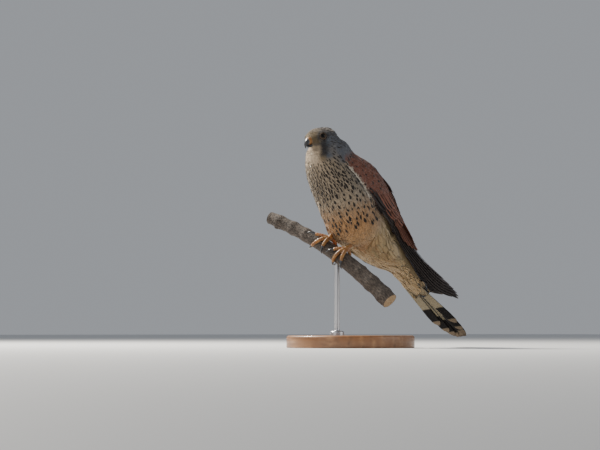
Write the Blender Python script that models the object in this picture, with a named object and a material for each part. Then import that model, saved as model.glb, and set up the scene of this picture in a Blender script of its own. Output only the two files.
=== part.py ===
"""A male common kestrel perched on a cut length of branch, on a plain display stand.

Every size and place is in millimetres until a mesh is made. The bird faces -Y with its left side
towards +X, and its head is turned a little to its right. The origin is the centre of the underside
of the stand's base. Places on the bird are measured from the perch point, the spot on top of the
branch midway between the two feet.
"""

import math

import bmesh
import bpy
import numpy as np
from mathutils import Matrix

MM = 0.001
GAP = 0.3  # left between pieces that touch
X, Y, Z = np.eye(3)

# The stand
BASE_RADIUS = 72.0
BASE_HEIGHT = 14.0
BASE_EDGE = 3.0
ROD_RADIUS = 3.0
COLLAR_RADIUS = 8.0
COLLAR_HEIGHT = 5.0
PERCH_POINT = np.array([0.0, -20.0, 114.0])

# The branch
BRANCH_PLAN_DEG = 15.0  # how far it is turned from square across the bird
BRANCH_SLOPE_DEG = 31.0  # it climbs to the bird's right
BRANCH_BEND = 0.0021  # radians for each millimetre
BRANCH_LOW_END = -92.0
BRANCH_HIGH_END = 96.0
BRANCH_RADIUS = 8.4
BRANCH_TAPER = 0.012
BUD_SPACING = 41.0

# The head, turned and tipped about its own centre
HEAD_CENTRE = np.array([0.0, -23.4, 120.7])
HEAD_YAW_DEG = -2.0
HEAD_PITCH_DEG = -7.0
EYE_AT = (8.9, 1.4)  # where the middle of the eye's opening is, forward and up
EYE_RADIUS = 5.6
LID_RADIUS = 3.3
LID_THICKNESS = 0.7
BILL_BASE = (14.2, -3.2)  # forward, up

# The folded wing
WRIST_AT = 23.0  # all places along the body are millimetres from the throat
WING_PAD_END = 92.0
QUILL_BLOCK_END = 110.0
WING_SINK = 4.5  # how far the body is hollowed under the wing
HOLLOW_RAMP = 0.16  # in radians, where the hollow fades in
LOUVRE_DEG = 15.0  # each vane's lower edge stands out over its neighbour
VANE_THICKNESS = 0.55
VANE_PITCH = 0.9  # from one vane to the next, square to the vane

# The tail
TAIL_TIP = np.array([0.0, 193.0, -104.3])
TAIL_SLOPE_DEG = 37.5
TAIL_LENGTH = 167.0
TAIL_SHOWS_FROM = 43.6  # where the feathers come out from under the coverts
TAIL_HALF_SPREAD = 12.8
RECTRIX_PAIRS = 6
OUTER_TAIL_SHORTER = 24.0
TAIL_BLOCK_RISE = 2.0
TAIL_ROLL = 0.15  # the rise of the tail's left side over its width
TAIL_TOP = 4.5  # the middle feathers' height over the tail's middle line
TAIL_COVERT_ROOT = 34.0
COVERT_HALF_WIDTH = 6.0
COVERT_PLACES = (5.4, 10.5)  # how far each lies from the middle one
TAIL_COVERTS = (  # how far the middle one stands out, height at the root and the tip, reach
    (0.45, 13.0, 6.8, 88.0),
    (-0.45, -2.2, -1.9, 96.0),
)

# The legs
FOOT_SPREAD = 12.5  # each foot's distance along the branch from the perch point
SOLE_RADIUS = 3.4
TOE_BASE_RADIUS = 2.5
TOE_END_RADIUS = 1.7
TOES = {  # length, and each foot's direction from straight ahead towards the bird's left
    "inner": (15.0, -42.0, 8.0),
    "middle": (25.0, -8.0, -30.0),
    "outer": (18.0, 24.0, -68.0),
    "hallux": (12.0, 168.0, 150.0),
}
HIP = np.array([17.5, 34.0, 36.0])
HEEL_FROM_SOLE = np.array([2.5, 4.5, 4.0])
THIGH_RADII = (  # share of the way down, radius
    (0.0, 14.5), (0.1, 18.5), (0.22, 20.5), (0.38, 20.8), (0.55, 18.6), (0.7, 15.0), (0.83, 11.0),
    (0.93, 7.4), (1.0, 4.6),
)
CLAW_LENGTH = 10.5
CLAW_RADIUS = 1.45

# The body from the throat to beyond the tail. Each row is a section across it: the place of its
# middle, the tilt in degrees of the way to the back, the half width, the height to the back and
# the depth to the breast, then the half width and height of the form that the wings lie on.
BODY = {
    "throat": (-21.5, 115, 22, 17, 18.5, 19, 17, 18.5),
    "neck": (-17, 108.5, 26, 22, 26, 25.5, 22, 26),
    "collar": (-12.2, 97, 28, 27.5, 29.3, 29.3, 27.5, 29.3),
    "shoulder": (-4, 86.8, 28, 31.5, 32, 34, 31.5, 32),
    "upper_breast": (5.3, 78.6, 28, 34, 35, 38.5, 34, 35),
    "breast": (18, 62, 28, 36, 39, 42, 36, 39),
    "belly": (29.5, 44.5, 28, 36, 40, 44, 36, 40),
    "thighs": (40, 28.5, 28, 35, 37.5, 42, 35, 38),
    "vent": (51, 15.5, 32, 32, 34, 36.5, 33, 36),
    "under_vent": (60, 2, 41, 29, 30, 25, 32, 36),
    "rump": (72.2, -10.3, 50, 25, 27, 15, 30, 35),
    "coverts": (96.8, -25.6, 53.8, 17, 17, 6, 26, 28),
    "mid_tail": (129.8, -49.8, 53.8, 12, 5, 5, 21, 30),
    "wing_tip": (161.8, -73.3, 53.8, 11, 4, 4, 17, 34),
    "tail_tip": (193, -96, 53.8, 10, 4, 4, 15, 36),
}
# The folded wing's lower and upper edge, in degrees round the body from the bird's left side
WING_EDGES = {
    "throat": (10, 50),
    "neck": (4, 60),
    "collar": (-2, 70),
    "shoulder": (-2, 78),
    "upper_breast": (-2, 82),
    "breast": (0, 84),
    "belly": (4, 84),
    "thighs": (7, 82),
    "vent": (9, 79),
    "under_vent": (10, 75),
    "rump": (10, 67),
    "coverts": (6, 55),
    "mid_tail": (6, 52),
    "wing_tip": (26, 46),
    "tail_tip": (30, 42),
}

LOOKS = {  # colour, roughness, metallic
    "rufous": ((0.36, 0.14, 0.06), 0.85, 0.0),
    "buff": ((0.60, 0.42, 0.27), 0.85, 0.0),
    "dark": ((0.05, 0.038, 0.036), 0.6, 0.0),
    "grey": ((0.30, 0.31, 0.34), 0.8, 0.0),
    "horn": ((0.06, 0.065, 0.08), 0.35, 0.0),
    "yellow": ((0.80, 0.42, 0.06), 0.5, 0.0),
    "eye": ((0.015, 0.01, 0.008), 0.05, 0.0),
    "bark": ((0.16, 0.13, 0.11), 0.9, 0.0),
    "wood": ((0.30, 0.17, 0.08), 0.45, 0.0),
    "steel": ((0.50, 0.50, 0.52), 0.3, 1.0),
}


def finish(obj, look):
    """Gives a node its own Principled material."""
    colour, roughness, metallic = LOOKS[look]
    made = bpy.data.materials.new(f"{obj.name}_{look}")
    made.use_nodes = True
    shader = made.node_tree.nodes["Principled BSDF"]
    shader.inputs["Base Color"].default_value = (*colour, 1.0)
    shader.inputs["Roughness"].default_value = roughness
    shader.inputs["Metallic"].default_value = metallic
    obj.data.materials.clear()
    obj.data.materials.append(made)


def unit(v):
    return v / np.linalg.norm(v, axis=-1, keepdims=True)


def ease(x, low, high):
    """0 below low and 1 above high, with a soft step between."""
    t = np.clip((x - low) / (high - low), 0.0, 1.0)
    return t * t * (3 - 2 * t)


def smooth(knots, values, at):
    """The values between the knots on one smooth curve."""
    knots = np.asarray(knots, float)
    values = np.asarray(values, float)
    at = np.clip(np.asarray(at, float), knots[0], knots[-1])
    slopes = np.gradient(values, knots, axis=0)
    i = np.clip(np.searchsorted(knots, at, side="right") - 1, 0, len(knots) - 2)
    step = knots[i + 1] - knots[i]
    t = (at - knots[i]) / step
    if values.ndim > 1:
        t, step = t[..., None], step[..., None]
    return (
        (2 * t**3 - 3 * t**2 + 1) * values[i]
        + (t**3 - 2 * t**2 + t) * step * slopes[i]
        + (3 * t**2 - 2 * t**3) * values[i + 1]
        + (t**3 - t**2) * step * slopes[i + 1]
    )


# Meshes

def solid(name, points, faces):
    """A closed mesh object from points in millimetres, with its faces turned outwards."""
    mesh = bpy.data.meshes.new(name)
    mesh.from_pydata((np.asarray(points) * MM).tolist(), [], [list(f) for f in faces])
    bm = bmesh.new()
    bm.from_mesh(mesh)
    bmesh.ops.recalc_face_normals(bm, faces=bm.faces)
    if bm.calc_volume(signed=True) < 0:
        bmesh.ops.reverse_faces(bm, faces=bm.faces)
    bm.to_mesh(mesh)
    bm.free()
    made = bpy.data.objects.new(name, mesh)
    bpy.context.scene.collection.objects.link(made)
    return made


def loft(name, rings, thin=False):
    """A closed skin over rings of points, each ring closed round. Both ends are capped by a fan or,
    on a thin curved shell whose rings run out and back again, by a strip between the two."""
    rings = np.asarray(rings, float)
    rows, around = rings.shape[:2]
    points = list(rings.reshape(-1, 3))
    faces = []
    for i in range(rows - 1):
        for j in range(around):
            k = (j + 1) % around
            a, b = i * around + j, i * around + k
            c, d = a + around, b + around
            faces += [(a, c, d), (a, d, b)]
    for end in (0, (rows - 1) * around):
        if thin:
            for j in range(around // 2 - 1):
                a, b = end + j, end + j + 1
                c, d = end + around - 2 - j, end + around - 1 - j
                faces += [(a, b, c), (a, c, d)]
        else:
            points.append(np.mean(points[end : end + around], axis=0))
            last = len(points) - 1
            faces += [(last, end + j, end + (j + 1) % around) for j in range(around)]
    return solid(name, points, faces)


def tube(name, path, radii, sides, up=Z):
    """A round rod of changing radius along a path."""
    path = np.asarray(path, float)
    along = unit(np.gradient(path, axis=0))
    across = unit(np.cross(along, up))
    over = unit(np.cross(across, along))
    turn = np.arange(sides) * math.tau / sides
    rings = [
        p + r * (np.outer(np.cos(turn), a) + np.outer(np.sin(turn), o))
        for p, r, a, o in zip(path, radii, across, over)
    ]
    return loft(name, rings)


def vane(name, centres, across, normals, half_widths, thickness=VANE_THICKNESS):
    """A thin closed vane along a row of centres. Both faces are split into triangles alike."""
    centres, across, normals = map(np.asarray, (centres, across, normals))
    rows = len(centres)
    columns = (-1.0, 0.0, 1.0)
    ridge = (0.8, 1.1, 0.8)
    points = []
    for face in (1, -1):
        for i in range(rows):
            for c, r in zip(columns, ridge):
                points.append(
                    centres[i]
                    + across[i] * half_widths[i] * c
                    + normals[i] * face * thickness * r / 2
                )
    n = len(columns)
    under = rows * n
    faces = []
    for i in range(rows - 1):
        for k in range(n - 1):
            a, b = i * n + k, i * n + k + 1
            c, d = a + n, b + n
            faces += [(a, b, d), (a, d, c)]
            faces += [(under + a, under + d, under + b), (under + a, under + c, under + d)]
        for k in (0, n - 1):
            a, c = i * n + k, (i + 1) * n + k
            faces += [(a, c, under + c), (a, under + c, under + a)]
    for i in (0, rows - 1):
        for k in range(n - 1):
            a, b = i * n + k, i * n + k + 1
            faces += [(a, b, under + b), (a, under + b, under + a)]
    return solid(name, points, faces)


def apply_boolean(target, operation, operand, solver="MANIFOLD"):
    """Bakes one Boolean into the target and removes what it was made with."""
    step = target.modifiers.new("step", "BOOLEAN")
    step.operation = operation
    step.solver = solver
    if isinstance(operand, bpy.types.Collection):
        step.operand_type = "COLLECTION"
        step.collection = operand
    else:
        step.object = operand
    graph = bpy.context.evaluated_depsgraph_get()
    baked = bpy.data.meshes.new_from_object(target.evaluated_get(graph))
    target.modifiers.remove(step)
    target.data = baked
    baked.name = target.name
    gone = list(operand.objects) if isinstance(operand, bpy.types.Collection) else [operand]
    for obj in gone:
        bpy.data.objects.remove(obj)
    if isinstance(operand, bpy.types.Collection):
        bpy.data.collections.remove(operand)


def fuse(name, pieces, look=None):
    """One closed body from pieces that overlap, with its material where it's a node. The MANIFOLD
    solver is used because EXACT takes minutes on dozens of thin vanes."""
    body, rest = pieces[0], pieces[1:]
    body.name = name
    if rest:
        group = bpy.data.collections.new(name + "_pieces")
        bpy.context.scene.collection.children.link(group)
        for piece in rest:
            bpy.context.scene.collection.objects.unlink(piece)
            group.objects.link(piece)
        apply_boolean(body, "UNION", group)
    keep_largest(body)
    if look:
        finish(body, look)
    return body


def keep_largest(obj):
    """Leaves only the closed surface that holds the most volume."""
    bm = bmesh.new()
    bm.from_mesh(obj.data)
    islands = []
    left = set(bm.faces)
    while left:
        start = left.pop()
        island, edge = {start}, [start]
        while edge:
            face = edge.pop()
            for e in face.edges:
                for other in e.link_faces:
                    if other not in island:
                        island.add(other)
                        edge.append(other)
        left -= island
        volume = sum(
            f.normal.dot(f.calc_center_median()) * f.calc_area() / 3 for f in island
        )
        islands.append((volume, island))
    largest = max(islands, key=lambda pair: pair[0])[1]
    others = [f for f in bm.faces if f not in largest]
    bmesh.ops.delete(bm, geom=others, context="FACES")
    bm.to_mesh(obj.data)
    bm.free()


def halfspace(name, point, direction, size=400.0):
    """A large block that fills everything ahead of a plane."""
    direction = unit(np.asarray(direction, float))
    side = unit(np.cross(direction, Y if abs(direction[1]) < 0.9 else X))
    other = np.cross(direction, side)
    near = [
        point + size * (a * side + b * other)
        for a, b in ((-1, -1), (1, -1), (1, 1), (-1, 1))
    ]
    return loft(name, [near, [p + 2 * size * direction for p in near]])


def copy_of(obj, name):
    made = obj.copy()
    made.data = obj.data.copy()
    made.name = name
    bpy.context.scene.collection.objects.link(made)
    return made


# The body's form

def body_table():
    rows = np.array(list(BODY.values()), float)
    run = np.r_[0, np.cumsum(np.linalg.norm(np.diff(rows[:, :2], axis=0), axis=1))]
    return run, rows


RUN, ROWS = body_table()
STATION = dict(zip(BODY, RUN))
EDGE_ROWS = np.radians(np.array(list(WING_EDGES.values()), float))


def body_frame(s):
    """The middle of the body s millimetres from the throat, and the way along it and to the back."""
    s = np.asarray(s, float)
    middle = smooth(RUN, ROWS[:, :2], s)
    tilt = np.radians(smooth(RUN, ROWS[:, 2], s))
    none = np.zeros_like(s)
    centre = np.stack([none, middle[..., 0], middle[..., 1]], -1)
    along = np.stack([none, np.sin(tilt), -np.cos(tilt)], -1)
    back = np.stack([none, np.cos(tilt), np.sin(tilt)], -1)
    return centre, along, back


def on_form(s, phi, height, half, up, down):
    """A point on an oval section, and the way out of it. phi is measured from the left side up."""
    centre, _, back = body_frame(s)
    rise = np.where(np.sin(phi) > 0, up, down)
    round_x = np.sign(np.cos(phi)) * np.abs(np.cos(phi)) ** 0.92
    round_z = np.sign(np.sin(phi)) * np.abs(np.sin(phi)) ** 0.92
    out = unit(
        (np.cos(phi) / half)[..., None] * X + (np.sin(phi) / rise)[..., None] * back
    )
    point = centre + (round_x * half)[..., None] * X + (round_z * rise)[..., None] * back
    return point + np.asarray(height)[..., None] * out, out


def wing_edges(s):
    return np.moveaxis(smooth(RUN, EDGE_ROWS, s), -1, 0)


def wing_hollow(s, phi):
    """How far the body's surface is sunk where the folded wing lies on it."""
    low, high = wing_edges(s)
    side = np.arctan2(np.sin(phi), np.abs(np.cos(phi)))
    under = ease(side, low - HOLLOW_RAMP, low) * (1 - ease(side, high, high + HOLLOW_RAMP))
    return WING_SINK * under * ease(s, WRIST_AT - 4, WRIST_AT + 12)


def ring_angles(s, below=8, under=8):
    """Angles once round a section, with corners where the wing's hollow begins and ends."""
    low, high = wing_edges(s)
    top = math.pi / 2
    half = np.r_[
        np.linspace(-top, low - HOLLOW_RAMP, below),
        np.linspace(low - 0.02, high + 0.02, under),
        top,
    ]
    return np.r_[half, math.pi - half[-2:0:-1]]


def body_point(s, phi, height=0.0):
    half, up, down = (smooth(RUN, ROWS[:, c], s) for c in (3, 4, 5))
    return on_form(s, phi, height - wing_hollow(s, phi), half, up, down)[0]


NECK_END = STATION["collar"] + 1.0
TORSO_END = STATION["under_vent"]


def body_skin(name, start, end, rows, height=0.0):
    """The body's surface between two places along it."""
    rings = []
    for s in np.linspace(start, end, rows):
        phi = ring_angles(s)
        rings.append(body_point(np.full(len(phi), s), phi, height))
    return loft(name, rings)


# The folded wing

def wing_radius(s):
    return (smooth(RUN, ROWS[:, 6], s) + smooth(RUN, ROWS[:, 7], s)) / 2


def wing_width(s):
    low, high = wing_edges(s)
    return (high - low) * wing_radius(s)


def wing_point(s, x, height, side=1):
    """A point of the wing: x millimetres up from its lower edge, and height off the body."""
    s, x, height = np.broadcast_arrays(*(np.asarray(v, float) for v in (s, x, height)))
    low, _ = wing_edges(s)
    phi = low + x / wing_radius(s)
    half, up = smooth(RUN, ROWS[:, 6], s), smooth(RUN, ROWS[:, 7], s)
    lift = height - WING_SINK + 2 * GAP
    point, out = on_form(s, phi, lift, half, up, up)
    mirror = np.array([side, 1, 1])
    return point * mirror, out * mirror


def wing_vane(name, s, x, height, half_widths, side, louvre=LOUVRE_DEG):
    """A vane laid in the wing along s, with its lower edge raised by the louvre angle."""
    s, x, height = (np.asarray(v, float) for v in (s, x, height))
    centres, out = wing_point(s, x, height, side)
    ahead, _ = wing_point(s, x + 1.0, height, side)
    across = unit(ahead - centres)
    lean = math.radians(louvre)
    tilted = across * math.cos(lean) - out * math.sin(lean)
    normals = out * math.cos(lean) + across * math.sin(lean)
    return vane(name, centres, tilted, normals, half_widths)


def louvre_step(spacing):
    """The extra height that keeps one vane clear of the next at that spacing."""
    lean = math.radians(LOUVRE_DEG)
    return np.maximum(0.0, (VANE_PITCH - spacing * math.sin(lean)) / math.cos(lean))


FLIGHT_BASE = 2.2  # the lowest vane's height off the body
PRIMARY_TIPS = (258, 269, 268, 264, 257, 248, 236)  # the outermost first
PRIMARY_SPACING = 1.9  # between the quills
PRIMARY_TIP_SPACING = 2.7
INNER_LIFT = 0.5  # more room between the primaries and the secondaries
SECONDARY_TIPS = (182, 179, 176, 173, 170)
TERTIAL_TIPS = (170, 165, 158)
PRIMARY_STEP = float(louvre_step(PRIMARY_SPACING))
PAD_CLEARANCE = 0.25  # more room under the wing, for the flats of the facets
HAND_WIDTH = 17.7  # the share of the quill block that holds the primaries


def primaries():
    """Each primary from the outermost, as its tip, its place across the wing at the quill and at
    the tip, its height and its half width."""
    return [
        (tip, 2.5 + PRIMARY_SPACING * j, 2.5 + PRIMARY_TIP_SPACING * j,
         FLIGHT_BASE + PRIMARY_STEP * j, 5.8 if j else 4.6)
        for j, tip in enumerate(PRIMARY_TIPS)
    ]


def inner_feathers():
    """The secondaries and then the tertials, in the same terms."""
    height = FLIGHT_BASE + PRIMARY_STEP * len(PRIMARY_TIPS) + INNER_LIFT
    made = [
        (tip, 21.5 + 3.8 * j, 17.0 + 2.7 * j, height + 0.26 * (j + 1), 6.0)
        for j, tip in enumerate(SECONDARY_TIPS)
    ]
    made += [
        (tip, 39.5 + 2.6 * j, 30.5 + 2.6 * j, height + 1.2 + 0.26 * (j + 6), 7.0)
        for j, tip in enumerate(TERTIAL_TIPS)
    ]
    return made


def flight_top(x):
    """The height of the topmost flight feather x millimetres up the wing."""
    rise = PRIMARY_STEP / PRIMARY_SPACING
    return FLIGHT_BASE + rise * np.minimum(x, 14.0) + 0.06 * np.maximum(x - 14.0, 0.0)


def long_vane(name, tip, root_x, tip_x, height, half, side, root=103.0, rows=6):
    """One flight feather, from its quill in the quill block to its rounded tip."""
    share = np.linspace(0, 1, rows)
    s = root + (tip - root) * share
    x = root_x + (tip_x - root_x) * ease(share, 0, 1)
    shape = np.interp(share, (0, 0.2, 0.75, 0.93, 1), (0.45, 0.9, 1.0, 0.7, 0.25))
    return wing_vane(name, s, x, np.full(rows, height), half * shape, side)


def pad(name, start, end, rows, low, high, lift, side, across=8):
    """The fleshy part of the wing between two places: a closed shell with soft edges. low and
    high are its edges up the wing, and high may be left out where it's the wing's own edge."""
    rings = []
    for s in np.linspace(start, end, rows):
        x = np.linspace(low, high or wing_width(s), across)
        edge = np.sin(np.linspace(0, math.pi, across)) ** 0.5
        front = math.sin(math.pi / 2 * min(1.0, (s - WRIST_AT + 4) / 22))
        hollow = wing_hollow(s, wing_edges(s)[0] + x / wing_radius(s))
        floor = PAD_CLEARANCE + 1.15 * (WING_SINK - hollow)
        top = np.maximum(floor + 0.8, 0.9 + (flight_top(x) + lift - 0.9) * edge * front)
        outer, _ = wing_point(s, x, top, side)
        inner, _ = wing_point(s, x[::-1], floor[::-1], side)
        rings.append(np.concatenate([outer, inner]))
    return loft(name, rings, thin=True)


def covert_tier(name, root, lengths, places, lift, half, side):
    """A row of coverts with their roots at one place along the wing. Each lies over its lower
    neighbour and over the row behind."""
    made = []
    for j, (length, place) in enumerate(zip(lengths, places)):
        s = root + length * np.array([0.0, 0.3, 0.78, 1.0])
        x = place * wing_width(s) / wing_width(root)
        height = flight_top(x) + lift * np.array([-0.2, 0.85, 1.0, 0.9])
        shape = half * np.array([0.5, 0.95, 0.9, 0.3])
        made.append(wing_vane(f"{name}_{j}", s, x, height, shape, side, louvre=10.0))
    return made


def wing(side_name, side):
    """A wing in three nodes: the shoulder with its smaller coverts, the arm with the inner
    flight feathers, and the hand with the primaries."""
    wide = wing_width(85.0)
    shoulder = [pad("pad", WRIST_AT, WING_PAD_END, 8, 0.0, None, 2.2, side, 9)]
    shoulder += covert_tier(
        "median", 84.0, np.linspace(22, 18, 7), np.linspace(4.0, wide - 5.0, 7), 3.9, 4.4, side
    )
    fuse(f"wing_{side_name}_shoulder", shoulder, "rufous")
    start = WING_PAD_END + GAP
    hand = [pad("block", start, QUILL_BLOCK_END, 3, 0.0, HAND_WIDTH, 1.5, side, 6)]
    hand += covert_tier("primary_covert", 100.0, (50, 46, 42), (3.5, 8.0, 12.5), 2.9, 4.3, side)
    hand += [long_vane(f"primary_{j}", *row, side) for j, row in enumerate(primaries())]
    fuse(f"wing_{side_name}_hand", hand, "dark")
    arm = [pad("block", start, QUILL_BLOCK_END, 3, HAND_WIDTH + GAP + 0.1, None, 1.5, side, 7)]
    arm += covert_tier(
        "greater", 100.0, np.linspace(34, 27, 5), np.linspace(22.5, 42.5, 5), 2.7, 4.8, side
    )
    arm += [long_vane(f"inner_{j}", *row, side) for j, row in enumerate(inner_feathers())]
    fuse(f"wing_{side_name}_arm", arm, "rufous")


# The head

def head_axes():
    yaw, pitch = math.radians(HEAD_YAW_DEG), math.radians(HEAD_PITCH_DEG)
    level = np.array([math.sin(yaw), -math.cos(yaw), 0.0])
    forward = math.cos(pitch) * level + math.sin(pitch) * Z
    left = np.cross(Z, level)
    return forward, left, np.cross(forward, left)


FORWARD, LEFT, UP = head_axes()


def head_place(forward, out, up):
    return HEAD_CENTRE + forward * FORWARD + out * LEFT + up * UP


HEAD = {  # forward, half width, crown, jaw
    "nape": (-19.0, 4.0, 4.5, -5.0),
    "back": (-16.0, 11.0, 8.6, -9.8),
    "cheeks": (-9.0, 15.4, 11.6, -13.5),
    "crown": (-1.5, 16.8, 12.0, -14.5),
    "eyes": (6.0, 15.8, 11.6, -13.6),
    "brow": (12.0, 12.8, 9.6, -11.6),
    "lores": (15.6, 9.2, 6.6, -9.4),
    "face": (17.8, 4.8, 2.4, -6.8),
}


def head_skin(name, inflate=0.0, rows=11, around=24):
    table = np.array(list(HEAD.values()))
    turn = np.arange(around) * math.tau / around
    rings = []
    for f in np.linspace(table[0, 0], table[-1, 0], rows):
        half, top, bottom = (smooth(table[:, 0], table[:, c], f) for c in (1, 2, 3))
        middle, rise = (top + bottom) / 2, (top - bottom) / 2
        rings.append(
            [
                head_place(
                    f, (half + inflate) * math.cos(t), middle + (rise + inflate) * math.sin(t)
                )
                for t in turn
            ]
        )
    rings[0] = np.asarray(rings[0]) - inflate * FORWARD
    rings[-1] = np.asarray(rings[-1]) + inflate * FORWARD
    return loft(name, rings)


def ball(name, centre, radius, around=14, rings=9, axis=Z):
    """A round body whose poles lie on the axis."""
    axis = unit(np.asarray(axis, float))
    side = unit(np.cross(axis, Y if abs(axis[1]) < 0.9 else X))
    other = np.cross(axis, side)
    turn = np.arange(around) * math.tau / around
    rows = []
    for polar in np.linspace(0, math.pi, rings + 2)[1:-1]:
        ring = np.outer(np.cos(turn), side) + np.outer(np.sin(turn), other)
        rows.append(centre + radius * (math.sin(polar) * ring + math.cos(polar) * axis))
    return loft(name, rows)


def bill_part(name, rows, around=10):
    """A half of the bill from its upper and lower edge and half width at each row."""
    turn = np.arange(around) * math.tau / around
    rings = []
    for upper_f, upper_u, lower_f, lower_u, half in rows:
        top = head_place(BILL_BASE[0] + upper_f, 0, BILL_BASE[1] + upper_u)
        low = head_place(BILL_BASE[0] + lower_f, 0, BILL_BASE[1] + lower_u)
        rings.append(
            [
                (top + low) / 2 + (top - low) / 2 * math.sin(t) + LEFT * half * math.cos(t)
                for t in turn
            ]
        )
    return loft(name, rings)


UPPER_BILL = (
    (-3.5, 4.8, -3.5, -2.4, 4.8),
    (0.0, 5.1, 0.0, -2.6, 4.9),
    (3.2, 4.8, 3.0, -3.2, 4.5),
    (6.2, 3.4, 5.4, -3.8, 3.7),
    (8.6, 0.9, 7.2, -4.4, 2.7),
    (10.0, -2.2, 8.0, -5.2, 1.8),
    (10.1, -5.2, 8.5, -6.4, 1.1),
    (9.4, -7.6, 8.9, -7.6, 0.4),
)
LOWER_BILL = (
    (-3.5, -3.0, -3.5, -6.6, 3.8),
    (0.0, -3.2, 0.0, -7.0, 3.9),
    (3.0, -3.7, 3.0, -7.3, 3.3),
    (5.0, -4.3, 4.8, -7.2, 2.4),
    (6.2, -4.9, 6.0, -7.0, 1.4),
    (6.8, -5.7, 6.6, -6.6, 0.6),
)
NOSTRIL = (1.6, 1.6)  # ahead of and above the bill's base


def skull_point(forward, up, side):
    """The point of the head's skin at that place, seen from the side."""
    table = np.array(list(HEAD.values()))
    half, top, bottom = (smooth(table[:, 0], table[:, c], forward) for c in (1, 2, 3))
    middle, rise = (top + bottom) / 2, (top - bottom) / 2
    return head_place(forward, side * half * math.sqrt(1 - ((up - middle) / rise) ** 2), up)


def eye_socket(side):
    """The eyeball's centre and the way it looks, square to the skin round its opening."""
    forward, up = EYE_AT
    ahead = skull_point(forward + 2, up, side) - skull_point(forward - 2, up, side)
    above = skull_point(forward, up + 2, side) - skull_point(forward, up - 2, side)
    look = unit(np.cross(above, ahead)) * side
    reach = math.sqrt(EYE_RADIUS**2 - LID_RADIUS**2)
    return skull_point(forward, up, side) - look * (reach - 0.4), look


def eyelid(side, around=14, sides=6):
    """The bare ring round an eye, set on the head's skin."""
    centre, look = eye_socket(side)
    reach = math.sqrt(EYE_RADIUS**2 - LID_RADIUS**2)
    over = unit(UP - look * np.dot(UP, look))
    ahead = np.cross(over, look)
    middle = centre + look * (reach + 0.1)
    points = []
    for t in np.arange(around) * math.tau / around:
        outward = math.cos(t) * ahead + math.sin(t) * over
        ring = middle + (LID_RADIUS + 0.5) * outward
        for a in np.arange(sides) * math.tau / sides:
            points.append(ring + LID_THICKNESS * (math.cos(a) * outward + math.sin(a) * look))
    faces = []
    for i in range(around):
        for j in range(sides):
            a, b = i * sides + j, i * sides + (j + 1) % sides
            c, d = (a + sides) % len(points), (b + sides) % len(points)
            faces += [(a, c, d), (a, d, b)]
    return solid("lid", points, faces)


def head_and_neck():
    """The head, neck and torso are modelled whole and parted by two thin cuts."""
    whole = fuse(
        "whole",
        [body_skin("trunk", 2.0, TORSO_END, 20), head_skin("skull")],
    )
    for side in (1, -1):
        apply_boolean(whole, "UNION", eyelid(side))
        centre, look = eye_socket(side)
        apply_boolean(whole, "DIFFERENCE", ball("socket", centre, EYE_RADIUS + GAP, 14, 6, look))
    neck_cut, neck_way, _ = body_frame(np.array(NECK_END))
    neck = copy_of(whole, "neck")
    apply_boolean(neck, "INTERSECT", halfspace("ahead", neck_cut - neck_way * GAP / 2, -neck_way))
    torso = copy_of(whole, "torso")
    apply_boolean(torso, "INTERSECT", halfspace("behind", neck_cut + neck_way * GAP / 2, neck_way))
    bpy.data.objects.remove(whole)
    head_cut = HEAD_CENTRE - 13.0 * Z + 4.0 * Y
    head_way = unit(np.array([0.0, 0.34, 1.0]))
    head = copy_of(neck, "head")
    apply_boolean(head, "INTERSECT", halfspace("above", head_cut + head_way * GAP / 2, head_way))
    apply_boolean(neck, "INTERSECT", halfspace("below", head_cut - head_way * GAP / 2, -head_way))
    for obj, colour in ((head, "grey"), (neck, "buff"), (torso, "buff")):
        fuse(obj.name, [obj], colour)


def bill_and_eyes():
    upper = bill_part("bill_upper", UPPER_BILL)
    for side in (1, -1):
        place = head_place(BILL_BASE[0] + NOSTRIL[0], side * 4.9, BILL_BASE[1] + NOSTRIL[1])
        apply_boolean(upper, "DIFFERENCE", ball("nostril", place, 1.0, 8, 5, LEFT))
    lower = bill_part("bill_lower", LOWER_BILL)
    for part in (upper, lower):
        apply_boolean(part, "DIFFERENCE", head_skin("face_cut", inflate=GAP))
        fuse(part.name, [part], "horn")
    for side_name, side in (("left", 1), ("right", -1)):
        centre, look = eye_socket(side)
        fuse(f"eye_{side_name}", [ball("eye", centre, EYE_RADIUS, 14, 6, look)], "eye")


# The rump and tail

def tail_frame():
    """The tail's root, the way along it and to its upper side."""
    slope = math.radians(TAIL_SLOPE_DEG)
    along = np.array([0.0, math.cos(slope), -math.sin(slope)])
    return TAIL_TIP - TAIL_LENGTH * along, along, np.cross(X, along)


def covert_height(start, end, share):
    """The height over the tail's middle of a covert that comes down from the rump to the tail."""
    return start + (end - start) * ease(share, 0, 1)


def covert_wedge(start, end, reach):
    """What fills the space between the upper coverts and the tail."""
    root, along, back = tail_frame()
    turn = np.arange(14) * math.tau / 14
    rings = []
    for share in np.linspace(0.0, 0.8, 5):
        top = covert_height(start, end, share)
        rise = end + (top - end) * np.maximum(np.sin(turn), 0)
        half = COVERT_PLACES[-1] + COVERT_HALF_WIDTH / 2 - 4.0 * share
        place = root + (TAIL_COVERT_ROOT + (reach - TAIL_COVERT_ROOT) * share) * along
        out = half * np.cos(turn)
        rings.append(place + np.outer(out, X) + np.outer(rise + TAIL_ROLL * out, back))
    return loft("wedge", rings)


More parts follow.
